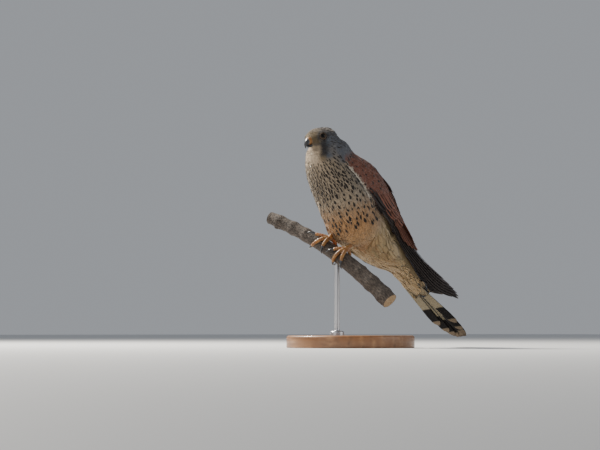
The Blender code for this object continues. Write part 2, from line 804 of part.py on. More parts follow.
def rump():
    """The end of the body, with the long coverts that lie over and under the tail's roots."""
    root, along, back = tail_frame()
    share = np.linspace(0, 1, 6)
    shape = COVERT_HALF_WIDTH * np.interp(share, (0, 0.4, 0.8, 1), (0.7, 1.0, 0.8, 0.25))
    across = np.tile(unit(X + TAIL_ROLL * back), (6, 1))
    normals = np.cross(across, along)
    pieces = [body_skin("rump", TORSO_END + 1.5 * GAP, STATION["coverts"], 7)]
    pieces.append(covert_wedge(*TAIL_COVERTS[0][1:]))
    for proud, start, end, reach in TAIL_COVERTS:
        for out in (0.0, *COVERT_PLACES, *(-x for x in COVERT_PLACES)):
            tip = reach - 0.9 * abs(out)
            place = TAIL_COVERT_ROOT + (tip - TAIL_COVERT_ROOT) * share
            height = covert_height(start, end, share) + proud * (1 - abs(out) / COVERT_PLACES[-1])
            height = height + TAIL_ROLL * out
            centres = root + np.outer(place, along) + np.outer(height, back) + out * X
            pieces.append(vane("covert", centres, across, normals, shape))
    fuse("rump", pieces, "buff")


def tail():
    """Twelve tail feathers, stacked with the middle pair on top and joined at their roots."""
    root, along, back = tail_frame()
    turn = np.arange(12) * math.tau / 12
    rings = [
        root + along * (TAIL_SHOWS_FROM + t) + back * TAIL_BLOCK_RISE
        + np.outer(np.cos(turn), X + TAIL_ROLL * back) * half + np.outer(np.sin(turn), back) * high
        for t, half, high in ((0.0, 11.0, 3.2), (9.0, 11.0, 3.0), (18.0, 10.0, 2.6))
    ]
    pieces = [loft("block", rings)]
    rows = 6
    share = np.linspace(0, 1, rows)
    shape = np.interp(share, (0, 0.25, 0.8, 0.95, 1), (0.4, 0.85, 1.0, 0.72, 0.25))
    start = TAIL_SHOWS_FROM + 6.0
    for pair in range(RECTRIX_PAIRS):
        length = TAIL_LENGTH - OUTER_TAIL_SHORTER * (pair / (RECTRIX_PAIRS - 1)) ** 3
        spread = TAIL_HALF_SPREAD * (pair + 0.35) / (RECTRIX_PAIRS - 0.65)
        half = 6.8 if pair else 7.4
        for side in (1, -1):
            # The two middle feathers overlap, so one lies half a pitch above the other.
            depth = -VANE_PITCH * (pair or -0.5 * side)
            out = side * spread * (0.3 + 0.7 * share)
            way = np.outer(start + (length - start) * share, along)
            centres = root + way + np.outer(out, X) + np.outer(TAIL_TOP + depth + TAIL_ROLL * out, back)
            tilted = unit(X + TAIL_ROLL * back)
            across = np.tile(tilted, (rows, 1))
            normals = np.cross(across, along)
            pieces.append(vane(f"rectrix_{pair}_{side}", centres, across, normals, half * shape))
    fuse("tail_feathers", pieces, "grey")


# The legs

def branch_axis(t):
    """The branch's middle t millimetres along it from the perch point, before its radius is
    taken off the top, and the way along it."""
    plan, slope = math.radians(BRANCH_PLAN_DEG), math.radians(BRANCH_SLOPE_DEG)
    along = np.array(
        [
            -math.cos(plan) * math.cos(slope),
            -math.sin(plan) * math.cos(slope),
            math.sin(slope),
        ]
    )
    up = unit(Z - along * along[2])
    t = np.asarray(t, float)
    sag = -0.5 * BRANCH_BEND * t**2
    return (
        t[..., None] * along + (sag - BRANCH_RADIUS)[..., None] * up,
        unit(along - (BRANCH_BEND * t)[..., None] * up),
    )


def branch_radius(t):
    return BRANCH_RADIUS - BRANCH_TAPER * np.asarray(t, float)


def branch_frame(t):
    """The middle of the branch, the way along, straight up from it, and to the bird's front."""
    middle, along = branch_axis(t)
    up = unit(Z - along * along[..., 2:3])
    front = np.cross(up, along)
    return middle, along, up, front


def toe_path(foot_at, turn_deg, distances, heights):
    """Points of a toe that wraps the branch, as a helix."""
    turn = math.radians(turn_deg)
    radius = branch_radius(foot_at)
    distances = np.asarray(distances, float)
    round_angle = distances * math.cos(turn) / (radius + 2.0)
    t = foot_at - distances * math.sin(turn)
    middle, _, up, front = branch_frame(t)
    way = np.cos(round_angle)[:, None] * up + np.sin(round_angle)[:, None] * front
    return middle + (branch_radius(t) + np.asarray(heights))[:, None] * way, way


def foot_centre(foot_at):
    middle, _, up, _ = branch_frame(np.array(foot_at))
    return middle + (branch_radius(foot_at) + SOLE_RADIUS + GAP + 0.1) * up


def toe_run(side_name, foot_at, toe):
    """A toe's path, the way out from the branch along it, its radii and its turn."""
    length, *turns = TOES[toe]
    turn_deg = turns[side_name == "right"]
    distances = np.linspace(0, length, 7)
    radii = TOE_BASE_RADIUS + (TOE_END_RADIUS - TOE_BASE_RADIUS) * distances / length
    path, way = toe_path(foot_at, turn_deg, distances, radii + GAP + 0.3)
    return path, way, radii, turn_deg


def foot_form(name, side_name, foot_at, grow=0.0):
    """The sole and four toes as one body, all of it larger by grow."""
    pieces = [ball("sole", foot_centre(foot_at), SOLE_RADIUS + grow, 10, 5)]
    for toe in TOES:
        path, way, radii, _ = toe_run(side_name, foot_at, toe)
        pieces.append(tube(f"toe_{toe}", path, radii + grow, 7, up=way[3]))
    return fuse(name, pieces, "yellow")


def foot(side_name, foot_at):
    """A foot, and a curved claw on each toe."""
    foot_form(f"foot_{side_name}", side_name, foot_at)
    for toe in TOES:
        path, way, _, turn_deg = toe_run(side_name, foot_at, toe)
        claw(f"claw_{side_name}_{toe}", path, way, 55 + 57 * math.cos(math.radians(turn_deg)) ** 2)


def claw(name, toe, way, bend_deg):
    """A tapered hook that leaves the toe's end and curls in towards the branch."""
    along = unit(toe[-1] - toe[-2])
    out = unit(way[-1] - along * np.dot(way[-1], along))
    rows = 7
    lean = math.radians(26)
    angles = lean - np.linspace(0, math.radians(bend_deg), rows)
    step = CLAW_LENGTH / (rows - 1)
    path = [toe[-1] + along * (GAP + 0.45)]
    for a, b in zip(angles[:-1], angles[1:]):
        mid = (a + b) / 2
        path.append(path[-1] + step * (math.cos(mid) * along + math.sin(mid) * out))
    radii = CLAW_RADIUS * (1 - np.linspace(0, 1, rows) ** 1.4 * 0.9)
    fuse(name, [tube(name, path, radii, 6, up=np.cross(along, out))], "horn")


def leg(side_name, side, foot_at):
    """The feathered thigh, and the bare shank that shows between it and the foot."""
    hip = HIP * (side, 1, 1)
    sole = foot_centre(foot_at)
    heel = sole + HEEL_FROM_SOLE * (side, 1, 1)
    share = np.linspace(0, 1, 13)
    path = hip + np.outer(share, heel - hip)
    radii = smooth(*zip(*THIGH_RADII), share)
    thigh = tube("thigh", path, radii, 20, up=X)
    apply_boolean(thigh, "DIFFERENCE", body_skin("clear", 2.0, TORSO_END, 20, height=GAP))
    apply_boolean(thigh, "DIFFERENCE", foot_form("clear", side_name, foot_at, GAP + 0.1))
    fuse(f"thigh_{side_name}", [thigh], "buff")
    down = unit(path[-1] - path[-2])
    shank = tube("shank", [sole, (sole + heel) / 2, heel + 0.3 * (heel - sole)],
                 (2.3, 2.1, 2.3), 10, up=X)
    longer = np.vstack([path, path[-1] + 1.5 * GAP * down])
    wider = np.r_[radii, radii[-1]] + 1.5 * GAP
    apply_boolean(shank, "DIFFERENCE", tube("clear", longer, wider, 20, up=X))
    apply_boolean(shank, "DIFFERENCE", body_skin("clear", 2.0, TORSO_END, 20, height=1.5 * GAP))
    apply_boolean(shank, "DIFFERENCE", foot_form("clear", side_name, foot_at, GAP + 0.1))
    fuse(f"shank_{side_name}", [shank], "yellow")


# The perch and stand

def perch_rings(t, around, grow=0.0):
    """Rings of points round the branch at the places t along it."""
    turn = np.arange(around) * math.tau / around
    middle, _, up, front = branch_frame(t)
    radii = branch_radius(t) + grow
    return [
        m + r * (np.outer(np.sin(turn), u) + np.outer(np.cos(turn), f))
        for m, r, u, f in zip(middle, radii, up, front)
    ]


def perch():
    """The branch, with low swellings at its buds away from the feet."""
    t = np.linspace(BRANCH_LOW_END, BRANCH_HIGH_END, 28)
    swell = 0.9 * ease(np.abs(t), 34, 48) * np.cos(math.tau * t / BUD_SPACING) ** 4
    fuse("perch_branch", [loft("branch", perch_rings(t, 12, swell))], "bark")


def turned(name, profile, around):
    """A round body about the stand's axis from (radius, height) points, lowest first."""
    turn = np.arange(around) * math.tau / around
    rings = [
        np.stack([r * np.cos(turn), r * np.sin(turn), np.full(around, h)], -1)
        for r, h in profile
    ]
    return loft(name, rings)


def stand():
    """The round base, and the rod with its collar, which is returned before it's cut to length."""
    edge = [
        (BASE_RADIUS - BASE_EDGE * (1 - math.cos(a)), BASE_HEIGHT - BASE_EDGE * (1 - math.sin(a)))
        for a in np.linspace(0, math.pi / 2, 4)
    ]
    foot_edge = [(BASE_RADIUS - 1.5, 0), (BASE_RADIUS, 1.5)]
    finish(turned("stand_base", foot_edge + edge, 40), "wood")
    rod = turned(
        "stand_rod",
        [
            (COLLAR_RADIUS, BASE_HEIGHT + GAP),
            (COLLAR_RADIUS, BASE_HEIGHT + COLLAR_HEIGHT - 1.5),
            (COLLAR_RADIUS - 2.0, BASE_HEIGHT + COLLAR_HEIGHT),
            (ROD_RADIUS, BASE_HEIGHT + COLLAR_HEIGHT),
            (ROD_RADIUS, PERCH_POINT[2] - BRANCH_RADIUS),
        ],
        18,
    )
    rod.data.transform(Matrix.Translation(PERCH_POINT * (1, 1, 0) * MM))
    return rod


def place_bird():
    """Moves what was made about the perch point to its place over the base."""
    for obj in bpy.context.scene.objects:
        if not obj.name.startswith("stand_"):
            obj.data.transform(Matrix.Translation(PERCH_POINT * MM))


def cut_rod(rod):
    """Ends the rod against the underside of the branch."""
    rings = PERCH_POINT + np.array(perch_rings(np.linspace(-30, 30, 9), 12, 1.5 * GAP))
    apply_boolean(rod, "DIFFERENCE", loft("branch_clear", rings))
    fuse("stand_rod", [rod], "steel")


def main():
    for obj in list(bpy.data.objects):
        bpy.data.objects.remove(obj)
    head_and_neck()
    bill_and_eyes()
    for side_name, side in (("left", 1), ("right", -1)):
        wing(side_name, side)
    rump()
    tail()
    leg("left", 1, -FOOT_SPREAD)
    leg("right", -1, FOOT_SPREAD)
    foot("left", -FOOT_SPREAD)
    foot("right", FOOT_SPREAD)
    perch()
    rod = stand()
    place_bird()
    cut_rod(rod)


main()
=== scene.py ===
import math

import bmesh
import bpy
import numpy as np
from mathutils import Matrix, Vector, noise
from mathutils.bvhtree import BVHTree


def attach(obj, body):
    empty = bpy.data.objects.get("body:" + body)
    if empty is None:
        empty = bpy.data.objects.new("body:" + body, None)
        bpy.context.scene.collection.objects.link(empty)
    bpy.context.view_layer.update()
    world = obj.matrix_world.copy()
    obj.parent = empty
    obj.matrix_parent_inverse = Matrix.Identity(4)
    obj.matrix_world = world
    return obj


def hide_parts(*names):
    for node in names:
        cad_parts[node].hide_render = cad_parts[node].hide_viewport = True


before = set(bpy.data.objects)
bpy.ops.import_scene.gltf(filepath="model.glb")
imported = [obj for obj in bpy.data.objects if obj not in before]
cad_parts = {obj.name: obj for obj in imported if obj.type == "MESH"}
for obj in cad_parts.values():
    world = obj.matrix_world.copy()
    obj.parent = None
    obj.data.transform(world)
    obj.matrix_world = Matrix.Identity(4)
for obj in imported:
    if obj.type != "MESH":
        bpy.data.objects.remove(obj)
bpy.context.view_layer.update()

# The camera
# It looks at the bird's left front with a long lens, level with the tail and a little upwards, and
# stays above the floor. All sizes below are millimetres about the spot on the branch between the feet.
MM = 0.001
PERCH = np.array([0.0, -20.0, 114.0])
X, Y, Z = np.eye(3)
azimuth, elevation = math.radians(50.0), math.radians(-2.6)
view_right = np.array([math.cos(azimuth), math.sin(azimuth), 0.0])
view_back = np.array(
    [
        math.sin(azimuth) * math.cos(elevation),
        -math.cos(azimuth) * math.cos(elevation),
        math.sin(elevation),
    ]
)
view_up = np.cross(view_back, view_right)
looked_at = PERCH * MM - view_right * 0.04144 + view_up * 0.02352
camera = bpy.data.objects.new("camera", bpy.data.cameras.new("camera"))
camera.data.lens = 139.3
camera.data.clip_end = 30.0
camera.location = looked_at + view_back * 2.6
camera.rotation_euler = Vector(view_back).to_track_quat("Z", "Y").to_euler()
bpy.context.scene.collection.objects.link(camera)
bpy.context.scene.camera = camera


# The floor and the light
# A plain pale floor under soft studio light: a large lamp high at the left and behind the bird, as
# the sun stands in the photograph, and two weaker ones in front that open the shadows.
def add(tree, kind, inputs=None, **settings):
    """Adds a shader node, sets its options, and fills its inputs with values or links."""
    made = tree.nodes.new("ShaderNode" + kind)
    for name, value in settings.items():
        setattr(made, name, value)
    for key, value in (inputs or {}).items():
        if isinstance(value, bpy.types.NodeSocket):
            tree.links.new(value, made.inputs[key])
        else:
            made.inputs[key].default_value = value
    return made


def material(name, colour, roughness=0.6, **constants):
    """A Principled material and its parts. Constants are set on the shader's own sockets."""
    made = bpy.data.materials.new(name)
    made.use_nodes = True
    shader = made.node_tree.nodes["Principled BSDF"]
    shader.inputs["Base Color"].default_value = (*colour, 1.0)
    shader.inputs["Roughness"].default_value = roughness
    for socket, value in constants.items():
        shader.inputs[socket.replace("_", " ")].default_value = value
    return made, made.node_tree, shader


def lamp(name, right, up, back, size, watts, colour):
    made = bpy.data.objects.new(name, bpy.data.lights.new(name, "AREA"))
    made.data.size = size
    made.data.energy = watts
    made.data.color = colour
    made.location = looked_at + view_right * right + view_up * up + view_back * back
    way = Vector(looked_at) - made.location
    made.rotation_euler = way.to_track_quat("-Z", "Y").to_euler()
    bpy.context.scene.collection.objects.link(made)


lamp("sun_side", -1.0, 1.2, -0.75, 0.4, 95.0, (1.0, 0.94, 0.84))
lamp("front_fill", -1.2, 0.7, 1.4, 1.4, 8.0, (1.0, 0.95, 0.88))
lamp("right_fill", 1.5, 0.5, 0.4, 1.2, 7.0, (1.0, 0.97, 0.93))
world = bpy.data.worlds.new("studio")
world.use_nodes = True
world.node_tree.nodes["Background"].inputs["Color"].default_value = (0.82, 0.86, 0.92, 1.0)
world.node_tree.nodes["Background"].inputs["Strength"].default_value = 0.4
bpy.context.scene.world = world

bpy.ops.mesh.primitive_plane_add(size=14.0, location=(0, 0, 0))
floor = bpy.context.object
floor.name = "floor"
floor_paper, tree, shader = material("floor_paper", (0.62, 0.63, 0.64), 0.75)
grain = add(tree, "TexNoise", {"Scale": 600.0, "Detail": 4.0})
bump = add(tree, "Bump", {"Height": grain.outputs["Fac"], "Strength": 0.05, "Distance": 0.0005})
tree.links.new(bump.outputs[0], shader.inputs["Normal"])
floor.data.materials.append(floor_paper)


# The base
# A round base of oiled oak, turned with a soft edge. The rod stands in it behind its middle, under
# the branch.
def piece(name, points, faces, finish, replaced=(), smooth=True):
    """A mesh object from arrays of points and of faces of one size, fixed to the model."""
    mesh = bpy.data.meshes.new(name)
    places = ((np.asarray(points, float).reshape(-1, 3) + PERCH) * MM).astype(np.float32)
    faces = np.asarray(faces, np.int32)
    mesh.vertices.add(len(places))
    mesh.vertices.foreach_set("co", places.ravel())
    mesh.loops.add(faces.size)
    mesh.loops.foreach_set("vertex_index", faces.ravel())
    mesh.polygons.add(len(faces))
    mesh.polygons.foreach_set("loop_start", np.arange(len(faces), dtype=np.int32) * faces.shape[1])
    mesh.update(calc_edges=True)
    made = bpy.data.objects.new(name, mesh)
    bpy.context.scene.collection.objects.link(made)
    if smooth:
        mesh.shade_smooth()
    return fixed(made, finish, replaced)


def fixed(made, finish, replaced=()):
    """Gives a piece its material and says what it rides on, replaces and is made of."""
    made.data.materials.clear()
    made.data.materials.append(finish)
    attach(made, "root")
    if replaced:
        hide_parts(*replaced)
    return made


def note(made, name, values):
    """Writes a colour for each point of a piece, for its material to read."""
    values = np.asarray(values, np.float32)
    if values.shape[-1] == 3:
        values = np.concatenate([values, np.ones((*values.shape[:-1], 1), np.float32)], -1)
    layer = made.data.color_attributes.new(name, "FLOAT_COLOR", "POINT")
    layer.data.foreach_set("color", values.ravel())


def skinned(rings, caps=True):
    """Points and triangles of a closed skin over rings of points, outside out."""
    rings = np.asarray(rings, float)
    rows, around = rings.shape[:2]
    i, j = np.meshgrid(np.arange(rows - 1), np.arange(around), indexing="ij")
    k = (j + 1) % around
    a, b, c, d = i * around + j, i * around + k, (i + 1) * around + j, (i + 1) * around + k
    faces = np.concatenate(
        [np.stack([a, b, d], -1).reshape(-1, 3), np.stack([a, d, c], -1).reshape(-1, 3)]
    )
    points = rings.reshape(-1, 3)
    if caps:
        j = np.arange(around)
        k = (j + 1) % around
        n = len(points)
        end = (rows - 1) * around
        points = np.vstack([points, rings[0].mean(0), rings[-1].mean(0)])
        faces = np.vstack(
            [
                faces,
                np.stack([np.full(around, n), k, j], -1),
                np.stack([np.full(around, n + 1), end + j, end + k], -1),
            ]
        )
    corners = points[faces]
    if np.einsum("ij,ij->i", corners[:, 0], np.cross(corners[:, 1], corners[:, 2])).sum() < 0:
        faces = faces[:, ::-1]
    return points, faces


def turned(profile, around, centre):
    """Rings about an upright axis from (radius, height above the floor) points."""
    turn = np.arange(around) * math.tau / around
    return [
        np.stack([r * np.cos(turn), r * np.sin(turn), np.full(around, h)], -1) + centre - PERCH
        for r, h in profile
    ]


def arc(r, h, radius, start, end, steps):
    """Profile points round a quarter circle about (r, h), with angles in degrees."""
    angles = np.radians(np.linspace(start, end, steps))
    return [(r + radius * math.cos(a), h + radius * math.sin(a)) for a in angles]


oak, tree, shader = material("oiled_oak", (0.3, 0.17, 0.08), 0.42, Coat_Weight=0.25)
place = add(tree, "TexCoord")
stretch = add(tree, "Mapping", {"Vector": place.outputs["Object"], "Scale": (9.0, 150.0, 150.0)})
drift = add(tree, "TexNoise", {"Vector": place.outputs["Object"], "Scale": 14.0, "Detail": 2.0})
grain = add(tree, "TexNoise", {"Vector": stretch.outputs[0], "Scale": 1.0, "Detail": 6.0})
rings = add(
    tree, "TexWave", {"Scale": 26.0, "Distortion": 5.0, "Detail": 3.0, "Detail Scale": 1.4},
    wave_type="BANDS", bands_direction="Y",
)
tree.links.new(place.outputs["Object"], rings.inputs["Vector"])
tones = add(tree, "ValToRGB", {"Fac": grain.outputs["Fac"]})
tones.color_ramp.elements[0].position, tones.color_ramp.elements[1].position = 0.32, 0.68
tones.color_ramp.elements[0].color = (0.15, 0.075, 0.032, 1.0)
tones.color_ramp.elements[1].color = (0.36, 0.21, 0.105, 1.0)
banded = add(
    tree, "Mix", {0: rings.outputs["Fac"], 6: tones.outputs[0], 7: (0.24, 0.125, 0.055, 1.0)},
    data_type="RGBA",
)
toned = add(
    tree, "Mix", {0: drift.outputs["Fac"], 6: banded.outputs[2], 7: (0.40, 0.24, 0.12, 1.0)},
    data_type="RGBA", blend_type="SOFT_LIGHT",
)
tree.links.new(toned.outputs[2], shader.inputs["Base Color"])
dull = add(tree, "MapRange", {"Value": grain.outputs["Fac"], "To Min": 0.55, "To Max": 0.32})
tree.links.new(dull.outputs[0], shader.inputs["Roughness"])
bump = add(tree, "Bump", {"Height": grain.outputs["Fac"], "Strength": 0.25, "Distance": 0.0003})
tree.links.new(bump.outputs[0], shader.inputs["Normal"])

BASE_RADIUS, BASE_HEIGHT = 72.0, 14.0
edge = [(0.5, 0.0), (BASE_RADIUS - 1.5, 0.0)]
edge += arc(BASE_RADIUS - 1.0, 1.0, 1.0, -90, 0, 5)
edge += arc(BASE_RADIUS - 3.0, BASE_HEIGHT - 3.0, 3.0, 0, 90, 10)
edge += [(BASE_RADIUS - 8.0, BASE_HEIGHT), (0.5, BASE_HEIGHT)]
points, faces = skinned(turned(edge, 144, np.zeros(3)))
piece("base", points, faces, oak, ["stand_base"]).data.set_sharp_from_angle(
    angle=math.radians(35)
)


# The rod
# A brushed steel rod with a turned collar where it enters the base. Its upper end is cut to the
# branch and touches its underside.
steel, tree, shader = material("brushed_steel", (0.5, 0.5, 0.52), 0.3, Metallic=1.0)
place = add(tree, "TexCoord")
stretch = add(tree, "Mapping", {"Vector": place.outputs["Object"], "Scale": (900.0, 900.0, 25.0)})
grain = add(tree, "TexNoise", {"Vector": stretch.outputs[0], "Scale": 1.0, "Detail": 3.0})
dull = add(tree, "MapRange", {"Value": grain.outputs["Fac"], "To Min": 0.22, "To Max": 0.42})
tree.links.new(dull.outputs[0], shader.inputs["Roughness"])
bump = add(tree, "Bump", {"Height": grain.outputs["Fac"], "Strength": 0.12, "Distance": 0.0001})
tree.links.new(bump.outputs[0], shader.inputs["Normal"])

ROD_RADIUS, COLLAR_RADIUS, COLLAR_HEIGHT = 3.0, 8.0, 5.0
low = BASE_HEIGHT + 0.1
collar_top = BASE_HEIGHT + COLLAR_HEIGHT
rod = [(COLLAR_RADIUS, low), (COLLAR_RADIUS, collar_top - 2.2)]
rod += arc(COLLAR_RADIUS - 2.0, collar_top - 2.0, 2.0, 8, 90, 7)
rod += arc(ROD_RADIUS + 1.2, collar_top + 1.2, 1.2, 270, 180, 5)
rod += [(ROD_RADIUS, h) for h in np.linspace(collar_top + 4.0, PERCH[2] - 16.5, 8)]
points, faces = skinned(turned(rod, 40, PERCH * (1, 1, 0)))
piece("rod", points, faces, steel, ["stand_rod"]).data.set_sharp_from_angle(
    angle=math.radians(35)
)


# The branch
# A cut length of a thin branch, which bends and climbs to the bird's right. Grey-brown bark with
# cracks and lenticels, bud scars that stand out a little, and pale sawn ends.
BRANCH_PLAN, BRANCH_SLOPE = math.radians(15.0), math.radians(31.0)
BRANCH_BEND, BRANCH_RADIUS, BRANCH_TAPER = 0.0021, 8.4, 0.012
BRANCH_ENDS = (-92.0, 96.0)
BUD_SPACING = 41.0


def unit(v):
    return v / np.maximum(np.linalg.norm(v, axis=-1, keepdims=True), 1e-9)


def ease(x, low, high):
    """0 below low and 1 above high, with a soft step between."""
    t = np.clip((np.asarray(x, float) - low) / (high - low), 0.0, 1.0)
    return t * t * (3 - 2 * t)


def branch_radius(t):
    return BRANCH_RADIUS - BRANCH_TAPER * np.asarray(t, float)


def branch_frame(t):
    """The branch's middle t along it, the way along, straight up from it, and to the bird's front."""
    flat = np.array([-math.cos(BRANCH_PLAN), -math.sin(BRANCH_PLAN), 0.0])
    along = flat * math.cos(BRANCH_SLOPE) + Z * math.sin(BRANCH_SLOPE)
    up = unit(Z - along * along[2])
    t = np.asarray(t, float)[..., None]
    middle = t * along - (0.5 * BRANCH_BEND * t**2 + BRANCH_RADIUS) * up
    along = unit(along - BRANCH_BEND * t * up)
    up = unit(Z - along * along[..., 2:3])
    return middle, along, up, np.cross(up, along)


def rough(points, scale, seed, depth=3):
    """Smooth noise between about -1 and 1 at each point."""
    shift = Vector((seed * 17.3, seed * 5.1, seed * 9.7))
    return np.array([noise.fractal(Vector(p) * scale + shift, 1.0, 2.0, depth) for p in points])


bark, tree, shader = material("bark", (0.16, 0.13, 0.11), 0.85)
place = add(tree, "TexCoord")
lay = add(tree, "VertexColor", layer_name="lay")
laid = add(tree, "SeparateColor", {"Color": lay.outputs["Color"]})
run = add(tree, "VertexColor", layer_name="run")
patches = add(tree, "TexNoise", {"Vector": place.outputs["Object"], "Scale": 38.0, "Detail": 4.0})
furrows = add(
    tree, "TexNoise", {"Vector": run.outputs["Color"], "Scale": 7.0, "Detail": 7.0, "Roughness": 0.62}
)
fine = add(tree, "TexNoise", {"Vector": place.outputs["Object"], "Scale": 900.0, "Detail": 4.0})
dots = add(tree, "TexVoronoi", {"Vector": run.outputs["Color"], "Scale": 11.0, "Randomness": 1.0})
tones = add(tree, "ValToRGB", {"Fac": furrows.outputs["Fac"]})
tones.color_ramp.elements[0].position, tones.color_ramp.elements[1].position = 0.36, 0.66
tones.color_ramp.elements[0].color = (0.030, 0.022, 0.018, 1.0)
tones.color_ramp.elements[1].color = (0.165, 0.132, 0.108, 1.0)
worn = add(
    tree, "Mix", {0: patches.outputs["Fac"], 6: tones.outputs[0], 7: (0.125, 0.115, 0.105, 1.0)},
    data_type="RGBA", blend_type="SOFT_LIGHT",
)
speckled = add(
    tree, "Mix", {0: 0.5, 6: worn.outputs[2], 7: fine.outputs["Fac"]},
    data_type="RGBA", blend_type="OVERLAY",
)
lenticel = add(tree, "MapRange", {"Value": dots.outputs["Distance"], "From Min": 0.10, "From Max": 0.17,
                                  "To Min": 0.55, "To Max": 0.0})
dotted = add(
    tree, "Mix", {0: lenticel.outputs[0], 6: speckled.outputs[2], 7: (0.25, 0.20, 0.155, 1.0)},
    data_type="RGBA",
)
sawn_rings = add(tree, "Math", {0: laid.outputs["Green"], 1: 62.0}, operation="MULTIPLY")
sawn_wave = add(tree, "Math", {0: sawn_rings.outputs[0]}, operation="SINE")
sawn = add(
    tree, "Mix", {0: sawn_wave.outputs[0], 6: (0.36, 0.25, 0.14, 1.0), 7: (0.25, 0.16, 0.085, 1.0)},
    data_type="RGBA",
)
whole = add(
    tree, "Mix", {0: laid.outputs["Red"], 6: dotted.outputs[2], 7: sawn.outputs[2]},
    data_type="RGBA",
)
tree.links.new(whole.outputs[2], shader.inputs["Base Color"])
height = add(
    tree, "Math", {0: fine.outputs["Fac"], 1: 0.25, 2: furrows.outputs["Fac"]}, operation="MULTIPLY_ADD"
)
bump = add(tree, "Bump", {"Height": height.outputs[0], "Strength": 0.9, "Distance": 0.0011})
tree.links.new(bump.outputs[0], shader.inputs["Normal"])

t = np.linspace(*BRANCH_ENDS, 330)
turn = np.arange(72) * math.tau / 72
middle, along, up, front = branch_frame(t)
swell = 0.9 * ease(np.abs(t), 34, 48) * np.cos(math.tau * t / BUD_SPACING) ** 4
rings = []
for i in range(len(t)):
    way = np.outer(np.sin(turn), up[i]) + np.outer(np.cos(turn), front[i])
    spots = middle[i] + way * BRANCH_RADIUS
    coarse = rough(spots * (0.35, 0.35, 0.35), 0.22, 1, 2)
    ridged = rough(spots, 0.55, 2, 3)
    calm = 0.25 + 0.75 * ease(abs(t[i]), 22, 34)
    bud = ease(math.cos(math.tau * t[i] / BUD_SPACING), 0.9, 1.0) * ease(abs(t[i]), 34, 48)
    lump = bud * 1.6 * np.exp(-((turn - 1.9 - 1.7 * round(t[i] / BUD_SPACING)) ** 2) / 0.1)
    radius = branch_radius(t[i]) + swell[i] - 0.25 + calm * (0.45 * coarse + 0.3 * ridged) + lump
    rings.append(middle[i] + way * radius[:, None])
rings = np.array(rings)
ends = []
for end, share in ((0, (0.15, 0.55, 0.9)), (-1, (0.9, 0.55, 0.15))):
    centre = rings[end].mean(0)
    ends.append([centre + (rings[end] - centre) * s for s in share])
rings = np.concatenate([ends[0], rings, ends[1]])
points, faces = skinned(rings)
branch = piece("branch", points, faces, bark, ["perch_branch"])
branch.data.set_sharp_from_angle(angle=math.radians(50))
on_end = np.zeros(len(points))
out = np.zeros(len(points))
for first, end in ((0, 3), (len(rings) - 3, len(rings) - 4)):
    for k in range(3):
        row = slice((first + k) * 72, (first + k + 1) * 72)
        on_end[row] = 1.0
        out[row] = np.linalg.norm(rings[first + k] - rings[end].mean(0), axis=1) / BRANCH_RADIUS
on_end[-2:] = 1.0
note(branch, "lay", np.stack([on_end, out, np.zeros(len(points))], -1))
along = np.r_[[t[0]] * 3, t, [t[-1]] * 3]
round_it = np.stack([np.cos(turn), np.sin(turn)], -1)
run = np.concatenate([
    np.repeat(along, 72)[:, None] * 0.035, np.tile(round_it, (len(along), 1)),
], -1)
note(branch, "run", np.vstack([run, run[:1], run[-1:]]))


# The body's form
# The sections that the body and the folded wings lie on, from the throat to beyond the tail: the
# middle (y, z), the tilt of the way to the back, the half width, the height to the back and the
# depth to the breast, the half width and height under the wings, and the wing's two edges in
# degrees round the body.
BODY = {
    "throat": (-21.5, 115, 22, 17, 18.5, 19, 17, 18.5, 10, 50),
    "neck": (-17, 108.5, 26, 22, 26, 25.5, 22, 26, 4, 60),
    "collar": (-12.2, 97, 28, 27.5, 29.3, 29.3, 27.5, 29.3, -2, 70),
    "shoulder": (-4, 86.8, 28, 31.5, 32, 34, 31.5, 32, -2, 78),
    "upper_breast": (5.3, 78.6, 28, 34, 35, 38.5, 34, 35, -2, 82),
    "breast": (18, 62, 28, 36, 39, 42, 36, 39, 0, 84),
    "belly": (29.5, 44.5, 28, 36, 40, 44, 36, 40, 4, 84),
    "thighs": (40, 28.5, 28, 35, 37.5, 42, 35, 38, 7, 82),
    "vent": (51, 15.5, 32, 32, 34, 36.5, 33, 36, 9, 79),
    "under_vent": (60, 2, 41, 29, 30, 25, 32, 36, 10, 75),
    "rump": (72.2, -10.3, 50, 25, 27, 15, 30, 35, 10, 67),
    "coverts": (96.8, -25.6, 53.8, 17, 17, 6, 26, 28, 6, 55),
    "mid_tail": (129.8, -49.8, 53.8, 12, 5, 5, 21, 30, 6, 52),
    "wing_tip": (161.8, -73.3, 53.8, 11, 4, 4, 17, 34, 26, 46),
    "tail_tip": (193, -96, 53.8, 10, 4, 4, 15, 36, 30, 42),
}
WRIST_AT, WING_SINK, WING_PAD_END = 23.0, 4.5, 92.0
FORM = np.array(list(BODY.values()), float)
RUN = np.r_[0, np.cumsum(np.linalg.norm(np.diff(FORM[:, :2], axis=0), axis=1))]
STATION = dict(zip(BODY, RUN))


def smooth(knots, values, at):
    """The values between the knots on one smooth curve."""
    knots, values = np.asarray(knots, float), np.asarray(values, float)
    at = np.clip(np.asarray(at, float), knots[0], knots[-1])
    slopes = np.gradient(values, knots, axis=0)
    i = np.clip(np.searchsorted(knots, at, side="right") - 1, 0, len(knots) - 2)
    step = knots[i + 1] - knots[i]
    t = (at - knots[i]) / step
    if values.ndim > 1:
        t, step = t[..., None], step[..., None]
    return (
        (2 * t**3 - 3 * t**2 + 1) * values[i]
        + (t**3 - 2 * t**2 + t) * step * slopes[i]
        + (3 * t**2 - 2 * t**3) * values[i + 1]
        + (t**3 - t**2) * step * slopes[i + 1]
    )


